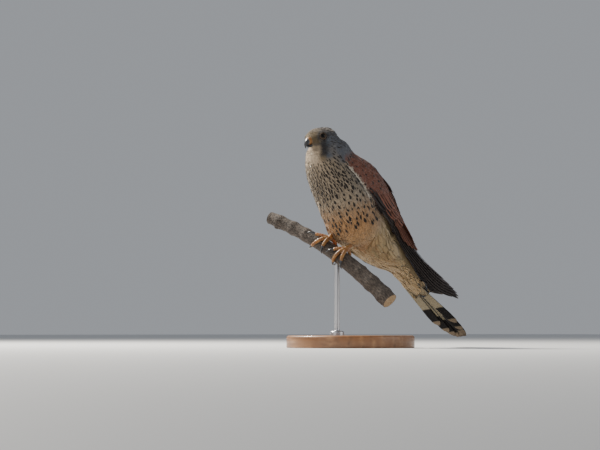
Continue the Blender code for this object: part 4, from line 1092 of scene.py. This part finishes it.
along = laid.outputs["Red"]
aside = sum_up(barbs, "ABSOLUTE", sum_up(barbs, "MULTIPLY_ADD", laid.outputs["Green"], 2.0, -1.0))
slant = sum_up(barbs, "SUBTRACT", along, sum_up(barbs, "MULTIPLY", aside, 0.35))
wave = sum_up(barbs, "SINE", sum_up(barbs, "MULTIPLY", slant, given.outputs["Barbs"]))
wisp = add(barbs, "TexNoise", {"Scale": 1400.0, "Detail": 3.0}).outputs["Fac"]
shaft = step(barbs, aside, 0.0, 0.1, 1.0, 0.0)
height = sum_up(barbs, "MULTIPLY_ADD", wave, 0.35, wisp)
barbs.links.new(sum_up(barbs, "ADD", height, shaft), gives.inputs["Height"])
streak_width = sum_up(
    barbs, "MULTIPLY", laid.outputs["Blue"],
    sum_up(barbs, "MULTIPLY", step(barbs, along, 0.1, 0.5, 0.0, 0.52), step(barbs, along, 0.86, 1.0, 1.0, 0.0)),
)
drop_width = sum_up(
    barbs, "MULTIPLY", lay.outputs["Alpha"],
    sum_up(barbs, "MULTIPLY", step(barbs, along, 0.36, 0.72, 0.0, 0.68), step(barbs, along, 0.8, 0.96, 1.0, 0.0)),
)
mark_width = sum_up(barbs, "MAXIMUM", streak_width, drop_width)
marked = step(barbs, sum_up(barbs, "SUBTRACT", mark_width, aside), -0.05, 0.08)
# Each vane darkens towards its root: partly its grey downy base, partly painted shade where it slips under the vanes
# above.
root_shade = step(barbs, along, 0.0, 0.6, 0.84, 1.0)
fringe = sum_up(
    barbs, "MULTIPLY", given.outputs["Fringe"],
    sum_up(barbs, "MAXIMUM", step(barbs, aside, 0.55, 0.95), step(barbs, along, 0.82, 0.98)),
)
streaky = sum_up(barbs, "MULTIPLY_ADD", wave, 0.05, sum_up(barbs, "MULTIPLY_ADD", wisp, 0.6, 0.68))
soft = sum_up(barbs, "MULTIPLY", root_shade, streaky)
body_tone = mixed(barbs, 1.0, given.outputs["Tint"], soft, "MULTIPLY")
edged = mixed(barbs, fringe, body_tone, (0.95, 0.9, 0.82, 1.0), "SOFT_LIGHT")
barbs.links.new(mixed(barbs, marked, edged, given.outputs["Mark"]), gives.inputs["Color"])


def feather_finish(name, barb_count, mark_colour, fringe, roughness=0.85):
    """A feather's material from the shared barbs and the tint of each vane."""
    made, tree, shader = material(name, (0.4, 0.3, 0.2), roughness, Sheen_Weight=0.12, Specular_IOR_Level=0.25)
    tint = add(tree, "VertexColor", layer_name="tint")
    group = add(tree, "Group", node_tree=barbs)
    tree.links.new(tint.outputs["Color"], group.inputs["Tint"])
    group.inputs["Barbs"].default_value = barb_count
    group.inputs["Mark"].default_value = (*mark_colour, 1.0)
    group.inputs["Fringe"].default_value = fringe
    tree.links.new(group.outputs["Color"], shader.inputs["Base Color"])
    bump = add(tree, "Bump", {"Height": group.outputs["Height"], "Strength": 0.45, "Distance": 0.0002})
    tree.links.new(bump.outputs[0], shader.inputs["Normal"])
    return made


under_plumage = feather_finish("under_plumage", 110.0, (0.012, 0.009, 0.008), 0.2)
rufous_plumage = feather_finish("rufous_plumage", 90.0, (0.010, 0.008, 0.008), 0.15)
head_plumage = feather_finish("head_plumage", 50.0, (0.04, 0.036, 0.036), 0.2)

on_head = head_share(root_s) > 0.5
on_wing = ~on_head & on_back & (root_s < 112)
tail_end = ~on_head & ~on_wing & (root_s > 104)
left = roots[:, 0] > 0
for name, own in (("left", left), ("right", ~left)):
    body_feathers(f"head_feathers_{name}", on_head & own, 0.3, 0.42, 0.10, head_plumage,
                  columns=3)
    body_feathers(f"wing_coverts_{name}", on_wing & own, 0.33, 0.32, 0.08, rufous_plumage)
    body_feathers(
        f"breast_feathers_{name}", ~on_head & ~on_wing & ~tail_end & own, 0.26, 0.28, 0.05,
        under_plumage,
    )
body_feathers("tail_coverts", tail_end, 0.25, 0.22, 0.05, under_plumage)


# The flight feathers
# Long stiff vanes folded over one another, on each side seven primaries with dark vanes and pale
# edges, then the secondaries, rufous tertials, and rows of coverts over their roots.
PRIMARY_TIPS = (258, 269, 268, 264, 257, 248, 236)
PRIMARY_TIP_SPACING = 2.7
SECONDARIES = (  # tip along the body, and the place up the wing at the root and at the tip
    (150, 12.0, 8.5), (160, 15.0, 10.5), (168, 18.2, 13.2), (176, 21.5, 16.5), (179, 25.3, 19.7),
    (177, 29.1, 22.4), (174, 32.9, 25.1), (171, 36.7, 27.8),
)
TERTIALS = ((169, 39.5, 30.5), (164, 42.1, 33.1), (157, 44.7, 35.7))


def wing_vanes(name, side, rows, table, outline, finish, lean=LOUVRE, shaft=0.12, replaced=(),
               columns=7, camber=0.05, thickness=0.3):
    """Vanes laid in a folded wing. Each row of the table holds the root's and the tip's place along
    the body, the place up the wing at both, the height at both, the half width, tint and marks."""
    share = np.linspace(0, 1, rows)
    curve = ease(share, 0, 1)
    root, tip, root_x, tip_x, root_h, tip_h, half = (np.array(c, float) for c in list(zip(*table))[:7])
    s = root[:, None] + (tip - root)[:, None] * share
    x = root_x[:, None] + (tip_x - root_x)[:, None] * curve
    h = root_h[:, None] + (tip_h - root_h)[:, None] * share
    centre, out = wing_point(s, x, h, side)
    ahead, _ = wing_point(s, x + 1.0, h, side)
    up = unit(ahead - centre)
    across = up * math.cos(lean) - out * math.sin(lean)
    normal = out * math.cos(lean) + up * math.sin(lean)
    width = half[:, None] * np.interp(share, *zip(*outline))
    tint = np.array([row[7] for row in table], float)
    mark = np.array([row[8] for row in table], float)
    patch = np.stack([0.02 + 0.95 * root / 270.0, 0.02 + 0.9 * root_x / 60.0], -1)
    return vanes(name, centre, across, normal, width, tint, mark, patch, finish, columns,
                 camber, thickness, shaft, replaced)


def flight_finish(name, bar_count, bar_colour, edge_colour):
    """A flight feather's material: tint, dark bars and a paler edge."""
    made, tree, shader = material(name, (0.06, 0.045, 0.04), 0.7, Specular_IOR_Level=0.25)
    lay = add(tree, "VertexColor", layer_name="lay")
    laid = add(tree, "SeparateColor", {"Color": lay.outputs["Color"]})
    tint = add(tree, "VertexColor", layer_name="tint").outputs["Color"]
    group = add(tree, "Group", node_tree=barbs)
    group.inputs["Barbs"].default_value = 420.0
    group.inputs["Mark"].default_value = (0.012, 0.01, 0.01, 1.0)
    tree.links.new(tint, group.inputs["Tint"])
    along, aside = laid.outputs["Red"], laid.outputs["Green"]
    colour = group.outputs["Color"]
    ragged = add(tree, "TexNoise", {"Scale": 350.0, "Detail": 3.0}).outputs["Fac"]
    wobble = sum_up(tree, "MULTIPLY_ADD", ragged, 0.05, along)
    if bar_count:
        bars = sum_up(tree, "SINE", sum_up(tree, "MULTIPLY", wobble, bar_count * math.tau))
        barred = sum_up(tree, "MULTIPLY", step(tree, bars, 0.55, 0.95), step(tree, aside, 0.55, 0.75, 0.0, 0.7))
        colour = mixed(tree, barred, colour, (*bar_colour, 1.0))
    rim = sum_up(tree, "MAXIMUM", step(tree, aside, 0.02, 0.07, 1.0, 0.0), step(tree, along, 0.975, 0.995))
    colour = mixed(tree, sum_up(tree, "MULTIPLY", rim, 0.6), colour, (*edge_colour, 1.0))
    tree.links.new(colour, shader.inputs["Base Color"])
    bump = add(tree, "Bump", {"Height": group.outputs["Height"], "Strength": 0.3, "Distance": 0.0002})
    tree.links.new(bump.outputs[0], shader.inputs["Normal"])
    return made


primary_finish = flight_finish("primary_vane", 0, (0, 0, 0), (0.14, 0.11, 0.09))
inner_finish = flight_finish("inner_vane", 7, (0.022, 0.014, 0.012), (0.30, 0.13, 0.075))
INNER_OUTLINE = ((0, 0.45), (0.12, 0.8), (0.3, 1.0), (0.8, 1.0), (0.92, 0.9), (0.98, 0.6), (1, 0.25))
FLIGHT_OUTLINE = ((0, 0.45), (0.12, 0.8), (0.3, 1.0), (0.7, 1.0), (0.88, 0.86), (0.96, 0.6), (1, 0.16))
COVERT_OUTLINE = ((0, 0.2), (0.3, 0.6), (0.6, 1.0), (0.85, 0.84), (0.95, 0.55), (1, 0.15))
DARK = np.array([0.020, 0.0155, 0.016])
# Painted sheen: the primaries higher up the folded wing are painted paler, as where light catches its upper side.
PAINTED_SHEEN = (1.0, 1.0, 1.1, 1.25, 1.5, 1.9, 2.5)  # the primaries grow paler up the wing
RUFOUS = np.array([0.170, 0.065, 0.043])


def covert_row(roots, length, places, lift, half, colour, spots_on, side_jitter):
    """A row of coverts that varies a little from feather to feather."""
    made = []
    for root, x in zip(np.broadcast_to(roots, len(places)), places):
        shift, longer, rise, spot = side_jitter.normal(0, 1, 4)
        x = x + 0.5 * shift
        top = float(flight_top(x))
        made.append((
            root, root + length + 1.4 * longer, x, x * 0.97, top - 2.3, top + lift + 0.15 * rise,
            half, colour * side_jitter.uniform(0.82, 1.18), (0.0, spots_on * (spot > -0.9)),
        ))
    return made


for side_name, side in (("left", 1), ("right", -1)):
    rng = np.random.default_rng(11)
    block = 94.0
    primaries = []
    # The far wing is held a little higher and further forward, and shows less beneath the body.
    higher, shorter = (0.0, 0.0) if side > 0 else (4.0, 5.0)
    for j, tip in enumerate(PRIMARY_TIPS):
        height = FLIGHT_BASE + PRIMARY_STEP * j
        primaries.append((
            block, tip - shorter, 2.5 + PRIMARY_SPACING * j + higher, 2.5 + PRIMARY_TIP_SPACING * j + higher,
            height, height, 5.8 if j else 4.2, DARK * rng.uniform(0.85, 1.25) * PAINTED_SHEEN[j], (0, 0),
        ))
    wing_vanes(f"primaries_{side_name}", side, 22, primaries, FLIGHT_OUTLINE, primary_finish,
               replaced=[f"wing_{side_name}_hand"])
    height = FLIGHT_BASE + PRIMARY_STEP * len(PRIMARY_TIPS) + 0.7
    inner = []
    for j, (tip, root_x, tip_x) in enumerate(SECONDARIES + TERTIALS):
        level = height + 0.12 * j
        colour = RUFOUS * (0.62 + 0.045 * j) * rng.uniform(0.9, 1.1)
        inner.append((block, tip, root_x, tip_x, level - 1.6, level, 6.6 if j < len(SECONDARIES) else 8.4,
                      colour, (0, 0)))
    wing_vanes(f"secondaries_{side_name}", side, 20, inner, INNER_OUTLINE, inner_finish,
               lean=math.radians(7), replaced=[f"wing_{side_name}_arm"])
    wide = float(wing_width(100.0))
    edge = covert_row(80.0, 62.0, (2.6 + higher, 5.2 + higher), 1.5, 2.9, DARK * 1.3, 0, rng)
    edge += covert_row(72.0, 46.0, (1.8 + higher / 2, 4.4 + higher / 2, 7.0 + higher / 2), 2.0, 2.9, DARK * 1.3, 0, rng)
    edge += covert_row(66.0, 32.0, (1.2, 3.6), 2.4, 2.7, DARK * 1.4, 0, rng)
    wing_vanes(f"primary_coverts_{side_name}", side, 12, edge, COVERT_OUTLINE, primary_finish,
               lean=math.radians(10), camber=0.12, thickness=0.2)
    coverts = covert_row(90.0, 40.0, np.linspace(8.0, wide - 5.0, 11), 1.7, 4.6, RUFOUS, 0.5, rng)
    coverts += covert_row(82.0, 34.0, np.linspace(7.0, wide - 4.0, 12), 1.9, 4.2, RUFOUS, 0.6, rng)
    coverts += covert_row(75.0, 28.0, np.linspace(7.5, wide - 4.0, 12), 2.0, 3.9, RUFOUS, 0.7, rng)
    for row in range(4):
        coverts += covert_row(
            62.0 + 8.0 * row + rng.normal(0, 1.5, 5), 29.0 + 2.5 * row,
            np.linspace(wide - 15.0 + row, wide - 1.5, 5), 2.1 + 0.1 * row, 4.6, RUFOUS * 0.95, 0.75, rng,
        )
    wing_vanes(f"greater_coverts_{side_name}", side, 12, coverts, COVERT_OUTLINE, rufous_plumage,
               lean=math.radians(8), camber=0.14, thickness=0.18)


# The tail
# Twelve long feathers, the middle pair on top and longest and each pair beneath a little shorter.
# Blue-grey above and paler below, with one broad black band before a pale tip.
tail_finish, tree, shader = material("tail_vane", (0.06, 0.045, 0.04), 0.85, Specular_IOR_Level=0.1)
tint = add(tree, "VertexColor", layer_name="tint")
lay = add(tree, "VertexColor", layer_name="lay")
laid = add(tree, "SeparateColor", {"Color": lay.outputs["Color"]})
group = add(tree, "Group", node_tree=barbs)
group.inputs["Barbs"].default_value = 420.0
lit = add(tree, "NewGeometry")
facing_up = add(
    tree, "VectorMath", {0: lit.outputs["Normal"], 1: tuple(tail_back)}, operation="DOT_PRODUCT"
)
below = step(tree, facing_up.outputs["Value"], -0.1, -0.4)
tree.links.new(mixed(tree, below, tint.outputs["Color"], (0.215, 0.185, 0.125, 1.0)), group.inputs["Tint"])
ragged = add(tree, "TexNoise", {"Scale": 260.0, "Detail": 3.0}).outputs["Fac"]
# How far each spot is from its own feather's tip, in hundredths of a metre.
left_over = sum_up(tree, "SUBTRACT", 1.0, laid.outputs["Red"])
from_tip = sum_up(tree, "MULTIPLY", left_over, sum_up(tree, "MULTIPLY", tint.outputs["Alpha"], 20.0))
from_tip = sum_up(tree, "MULTIPLY_ADD", ragged, 0.3, from_tip)
band = sum_up(tree, "MULTIPLY", step(tree, from_tip, 0.85, 1.05), step(tree, from_tip, 3.05, 3.3, 1.0, 0.0))
pale_tip = step(tree, from_tip, 0.85, 1.05, 1.0, 0.0)
colour = mixed(tree, pale_tip, group.outputs["Color"], (0.135, 0.100, 0.068, 1.0))
tree.links.new(mixed(tree, band, colour, (0.006, 0.005, 0.005, 1.0)), shader.inputs["Base Color"])
bump = add(tree, "Bump", {"Height": group.outputs["Height"], "Strength": 0.3, "Distance": 0.0002})
tree.links.new(bump.outputs[0], shader.inputs["Normal"])

share = np.linspace(0, 1, 26)
centres, widths, tints = [], [], []
tilted = unit(X + TAIL_ROLL * tail_back)
for pair in range(6):
    length = TAIL_LENGTH - 28.0 * (pair / 5) ** 3.4
    spread = 12.8 * (pair + 0.35) / 5.35
    for side in (1, -1):
        height = TAIL_TOP - 0.9 * (pair or -0.5 * side)
        way = tail_root + np.outer(TAIL_SHOWS_FROM + (length - TAIL_SHOWS_FROM) * share, tail_along)
        out = side * spread * (0.3 + 0.7 * share)
        centres.append(way + np.outer(out, X) + np.outer(height + TAIL_ROLL * out, tail_back))
        outline = np.interp(share, (0, 0.25, 0.8, 0.93, 0.98, 1), (0.4, 0.85, 1.0, 0.88, 0.55, 0.15))
        widths.append((6.8 if pair else 7.4) * outline)
        tints.append([0.125, 0.135, 0.150, (length - TAIL_SHOWS_FROM) / 200.0])
centres, widths = np.array(centres), np.array(widths)
count = len(centres)
vanes(
    "tail", centres, np.tile(tilted, (count, 26, 1)), np.tile(np.cross(tilted, tail_along), (count, 26, 1)),
    widths, np.array(tints), np.zeros((count, 2)),
    np.stack([np.full(count, 0.1), np.linspace(0.05, 0.9, count)], -1),
    tail_finish, 9, 0.05, 0.3, 0.12, ["tail_feathers"],
)


# The bill
# Dark horn that hooks over the lower half, with a bare orange-yellow cere round the nostrils at its
# root.
UPPER_BILL = (
    (-3.5, 4.8, -3.5, -2.4, 4.8), (0.0, 5.1, 0.0, -2.6, 4.9), (3.2, 4.8, 3.0, -3.2, 4.5),
    (6.2, 3.4, 5.4, -3.8, 3.7), (8.6, 0.9, 7.2, -4.4, 2.7), (10.0, -2.2, 8.0, -5.2, 1.8),
    (10.1, -5.2, 8.5, -6.4, 1.1), (9.4, -7.6, 8.9, -7.6, 0.4),
)
LOWER_BILL = (
    (-3.5, -2.0, -3.5, -5.6, 1.8), (0.0, -2.1, 0.0, -6.1, 2.7), (3.0, -2.6, 3.0, -6.7, 3.0),
    (5.0, -3.3, 4.8, -6.8, 2.3), (6.2, -4.1, 6.0, -6.7, 1.4), (6.8, -5.2, 6.6, -6.4, 0.6),
)


def bill_rings(table, rows, around, start=0.0, end=1.0, grow=0.0):
    """Rings of a half of the bill, with a soft ridge along its top."""
    table = np.array(table)
    knots = np.linspace(0, 1, len(table))
    turn = np.arange(around) * math.tau / around
    rings = []
    for share in np.linspace(start, end, rows):
        top_f, top_u, low_f, low_u, half = smooth(knots, table, share)
        top = head_place(BILL_BASE[0] + top_f, 0, BILL_BASE[1] + top_u)
        low = head_place(BILL_BASE[0] + low_f, 0, BILL_BASE[1] + low_u)
        rise = (np.linalg.norm(top - low) / 2 + grow) * unit(top - low)
        wide = half + grow
        narrow = 1 - 0.16 * np.clip(np.sin(turn), 0, 1) ** 2
        rings.append((top + low) / 2 + np.outer(np.sin(turn), rise) + np.outer(np.cos(turn) * narrow * wide, LEFT))
    return np.array(rings)


horn, tree, shader = material("horn", (0.03, 0.032, 0.04), 0.28, Coat_Weight=0.3)
lay = add(tree, "VertexColor", layer_name="lay")
laid = add(tree, "SeparateColor", {"Color": lay.outputs["Color"]})
tones = add(tree, "ValToRGB", {"Fac": laid.outputs["Red"]})
tones.color_ramp.elements[0].color = (0.11, 0.12, 0.14, 1.0)
tones.color_ramp.elements[1].color = (0.012, 0.012, 0.015, 1.0)
tones.color_ramp.elements[0].position, tones.color_ramp.elements[1].position = 0.2, 0.6
place = add(tree, "TexCoord")
streaks = add(tree, "TexNoise", {"Vector": place.outputs["Object"], "Scale": 900.0, "Detail": 4.0})
worn = mixed(tree, 0.5, tones.outputs[0], streaks.outputs["Fac"], "OVERLAY")
tree.links.new(worn, shader.inputs["Base Color"])
dull = add(tree, "MapRange", {"Value": streaks.outputs["Fac"], "To Min": 0.2, "To Max": 0.42})
tree.links.new(dull.outputs[0], shader.inputs["Roughness"])
bump = add(tree, "Bump", {"Height": streaks.outputs["Fac"], "Strength": 0.15, "Distance": 0.0002})
tree.links.new(bump.outputs[0], shader.inputs["Normal"])

bare_skin, tree, shader = material(
    "bare_skin", (0.5, 0.25, 0.04), 0.5, Subsurface_Weight=0.05, Coat_Weight=0.08
)
place = add(tree, "TexCoord")
scales = add(
    tree, "TexVoronoi", {"Vector": place.outputs["Object"], "Scale": 1900.0}, feature="DISTANCE_TO_EDGE"
)
patchy = add(tree, "TexNoise", {"Vector": place.outputs["Object"], "Scale": 160.0, "Detail": 4.0})
tones = add(tree, "ValToRGB", {"Fac": patchy.outputs["Fac"]})
tones.color_ramp.elements[0].color = (0.175, 0.070, 0.016, 1.0)
tones.color_ramp.elements[1].color = (0.30, 0.140, 0.030, 1.0)
tones.color_ramp.elements[0].position, tones.color_ramp.elements[1].position = 0.35, 0.65
seam = step(tree, scales.outputs["Distance"], 0.0, 0.12, 0.7, 1.0)
tree.links.new(mixed(tree, 1.0, tones.outputs[0], seam, "MULTIPLY"), shader.inputs["Base Color"])
bump = add(tree, "Bump", {"Height": seam, "Strength": 0.35, "Distance": 0.00025})
tree.links.new(bump.outputs[0], shader.inputs["Normal"])

for name, table, node, shade in (
    ("bill_upper_horn", UPPER_BILL, "bill_upper", 0.0), ("bill_lower_horn", LOWER_BILL, "bill_lower", 0.3),
):
    rings = bill_rings(table, 40, 32)
    points, faces = skinned(rings)
    made = piece(name, points, faces, horn, [node])
    along = np.r_[np.repeat(np.linspace(shade, 1, 40), 32), shade, 1]
    note(made, "lay", np.stack([along, along, along], -1))
rings = bill_rings(UPPER_BILL, 16, 32, 0.0, 0.42, 0.35)
rings[-1] = rings[-1].mean(0) + (rings[-1] - rings[-1].mean(0)) * 0.9
points, faces = skinned(rings)
cere = piece("cere", points, faces, bare_skin)
for side in (1, -1):
    bpy.ops.mesh.primitive_uv_sphere_add(segments=20, ring_count=12, radius=1.0 * MM)
    cutter = bpy.context.object
    cutter.scale = (1.25, 0.8, 0.8)
    cutter.location = (head_place(BILL_BASE[0] + 1.9, side * 4.9, BILL_BASE[1] + 1.4) + PERCH) * MM
    cutter.rotation_euler = Vector(LEFT).to_track_quat("X", "Z").to_euler()
    hole = cere.modifiers.new("nostril", "BOOLEAN")
    hole.operation, hole.object = "DIFFERENCE", cutter
    whole = bpy.data.meshes.new_from_object(cere.evaluated_get(bpy.context.evaluated_depsgraph_get()))
    cere.modifiers.clear()
    cere.data = whole
    bpy.data.objects.remove(cutter)


# The eyes
# Wet dark balls, almost black, each in a thin bare ring of yellow skin, painted a dull dark yellow-brown as it looks in
# shade.
# The lid ring's yellow skin, darkened to a dull brown: painted shade.
shaded_lid_skin, _, _ = material("shaded_lid_skin", (0.085, 0.052, 0.020), 0.6)
eye_glass, tree, shader = material("eye_glass", (0.01, 0.006, 0.004), 0.08, IOR=1.3)
lay = add(tree, "VertexColor", layer_name="lay")
laid = add(tree, "SeparateColor", {"Color": lay.outputs["Color"]})
iris = add(tree, "ValToRGB", {"Fac": laid.outputs["Red"]})
iris.color_ramp.elements[0].position, iris.color_ramp.elements[1].position = 0.26, 0.34
iris.color_ramp.elements[0].color = (0.002, 0.002, 0.002, 1.0)
iris.color_ramp.elements[1].color = (0.014, 0.006, 0.003, 1.0)
rays = add(tree, "TexNoise", {"Scale": 1200.0, "Detail": 3.0})
tree.links.new(mixed(tree, 0.4, iris.outputs[0], rays.outputs["Fac"], "OVERLAY"), shader.inputs["Base Color"])

for side_name, side in (("left", 1), ("right", -1)):
    centre, look = eye_socket(side)
    over = unit(UP - look * (UP @ look))
    ahead = np.cross(over, look)
    turn = np.arange(40) * math.tau / 40
    spokes = np.outer(np.cos(turn), ahead) + np.outer(np.sin(turn), over)
    polar = np.linspace(0.02, math.pi - 0.02, 28)
    rings = [centre + EYE_RADIUS * (math.sin(a) * spokes + math.cos(a) * look) for a in polar]
    points, faces = skinned(rings)
    eye = piece(f"eyeball_{side_name}", points, faces, eye_glass, [f"eye_{side_name}"])
    off_axis = np.clip(np.arccos(np.clip((points - centre) @ look / EYE_RADIUS, -1, 1)) / 1.2, 0, 1)
    note(eye, "lay", np.stack([off_axis] * 3, -1))
    # The lid's ring runs from just inside the opening, over the ball, out onto the cheek.
    lid = []
    for reach, lift in (
        (0.1, -0.3), (0.0, 0.05), (0.08, 0.2), (0.24, 0.28), (0.42, 0.2), (0.56, -0.05),
        (0.6, -0.6), (0.5, -1.1), (0.3, -1.0),
    ):
        wide = LID_RADIUS + 0.75 * reach
        stand = math.sqrt(EYE_RADIUS**2 - min(wide, LID_RADIUS) ** 2) + lift
        oval = 1 + 0.05 * np.cos(turn)[:, None] - 0.06 * np.abs(np.sin(turn))[:, None] ** 3
        lid.append(centre + look * stand + spokes * wide * oval)
    lid.append(lid[0])
    points, faces = skinned(lid, caps=False)
    piece(f"lid_{side_name}", points, faces, shaded_lid_skin)


# The feet
# Bare orange-yellow legs and toes with raised scutes, three toes forward and one back round the
# branch, and curved black claws.
TOES = {
    "inner": (15.0, -42.0, 8.0), "middle": (25.0, -8.0, -30.0), "outer": (18.0, 24.0, -68.0),
    "hallux": (12.0, 168.0, 150.0),
}
CLAW_LENGTH, CLAW_RADIUS = 10.5, 1.45


def tube_rings(path, radii, around, up):
    path = np.asarray(path, float)
    along = unit(np.gradient(path, axis=0))
    across = unit(np.cross(along, up))
    over = unit(np.cross(across, along))
    turn = np.arange(around) * math.tau / around
    return [
        p + r * (np.outer(np.cos(turn), a) + np.outer(np.sin(turn), o))
        for p, r, a, o in zip(path, radii, across, over)
    ]


def toe_run(side_name, foot_at, toe, steps):
    """A toe's middle line round the branch, the way out of the branch along it, and its radii."""
    length, *turns = TOES[toe]
    turn = math.radians(turns[side_name == "right"])
    distance = np.linspace(0, length, steps)
    radii = 2.5 + (1.7 - 2.5) * distance / length
    angle = distance * math.cos(turn) / (branch_radius(foot_at) + 2.0)
    t = foot_at - distance * math.sin(turn)
    middle, _, up, front = branch_frame(t)
    way = np.cos(angle)[:, None] * up + np.sin(angle)[:, None] * front
    path = middle + (branch_radius(t) + radii + 0.35)[:, None] * way
    return path, way, radii, math.degrees(turn)


for side_name, side in (("left", 1), ("right", -1)):
    foot_at = -side * FOOT_SPREAD
    sole = foot_centre(foot_at)
    bm = bmesh.new()
    parts = []
    for toe in TOES:
        path, way, radii, _ = toe_run(side_name, foot_at, toe, 60)
        share = np.linspace(0, 1, 60)
        joints = 0.10 * np.cos(share * math.tau * 3.0) ** 2
        scutes = 0.05 * np.abs(np.sin(share * math.pi * TOES[toe][0] * 0.55))
        tip = 1 - 0.35 * ease(share, 0.9, 1.0)
        parts.append(tube_rings(path, radii * (0.93 + joints + scutes) * tip, 16, way[30]))
    ankle = heel(side)
    shank = np.array([sole + (ankle - sole) * k for k in np.linspace(0.0, 1.12, 20)])
    parts.append(tube_rings(shank, 2.3 + 0.12 * np.sin(np.linspace(0, 22, 20)), 16, X))
    turn = np.arange(16) * math.tau / 16
    ring = np.outer(np.cos(turn), X) + np.outer(np.sin(turn), Y)
    parts.append(
        [sole + SOLE_RADIUS * (math.sin(a) * ring + math.cos(a) * Z) for a in np.linspace(0.1, 3.04, 14)]
    )
    for rings in parts:
        points, faces = skinned(rings)
        mesh = bpy.data.meshes.new("part")
        mesh.from_pydata(((points + PERCH) * MM).tolist(), [], faces.tolist())
        bm.from_mesh(mesh)
        bpy.data.meshes.remove(mesh)
    mesh = bpy.data.meshes.new(f"bare_leg_{side_name}")
    bm.to_mesh(mesh)
    bm.free()
    leg = bpy.data.objects.new(f"bare_leg_{side_name}", mesh)
    bpy.context.scene.collection.objects.link(leg)
    remesh = leg.modifiers.new("remesh", "REMESH")
    remesh.mode, remesh.voxel_size = "VOXEL", 0.00034
    calm = leg.modifiers.new("calm", "SMOOTH")
    calm.factor, calm.iterations = 0.5, 2
    leg.data = bpy.data.meshes.new_from_object(
        leg.evaluated_get(bpy.context.evaluated_depsgraph_get())
    )
    leg.modifiers.clear()
    leg.data.shade_smooth()
    fixed(leg, bare_skin, [f"foot_{side_name}", f"shank_{side_name}"])
    for toe in TOES:
        path, way, _, turn_deg = toe_run(side_name, foot_at, toe, 60)
        along = unit(path[-1] - path[-2])
        out = unit(way[-1] - along * (way[-1] @ along))
        bend = math.radians(55 + 57 * math.cos(math.radians(turn_deg)) ** 2)
        lean = math.radians(26) - np.linspace(0, bend, 30)
        line = [path[-1] - along * 0.6]
        for a in (lean[:-1] + lean[1:]) / 2:
            line.append(line[-1] + (CLAW_LENGTH + 1.2) / 29 * (math.cos(a) * along + math.sin(a) * out))
        radii = CLAW_RADIUS * (1 - np.linspace(0, 1, 30) ** 1.4 * 0.93)
        points, faces = skinned(tube_rings(line, radii, 14, np.cross(along, out)))
        claw = piece(f"talon_{side_name}_{toe}", points, faces, horn, [f"claw_{side_name}_{toe}"])
        shade = np.r_[np.repeat(np.linspace(0.45, 1, 30), 14), 0.45, 1]
        note(claw, "lay", np.stack([shade] * 3, -1))
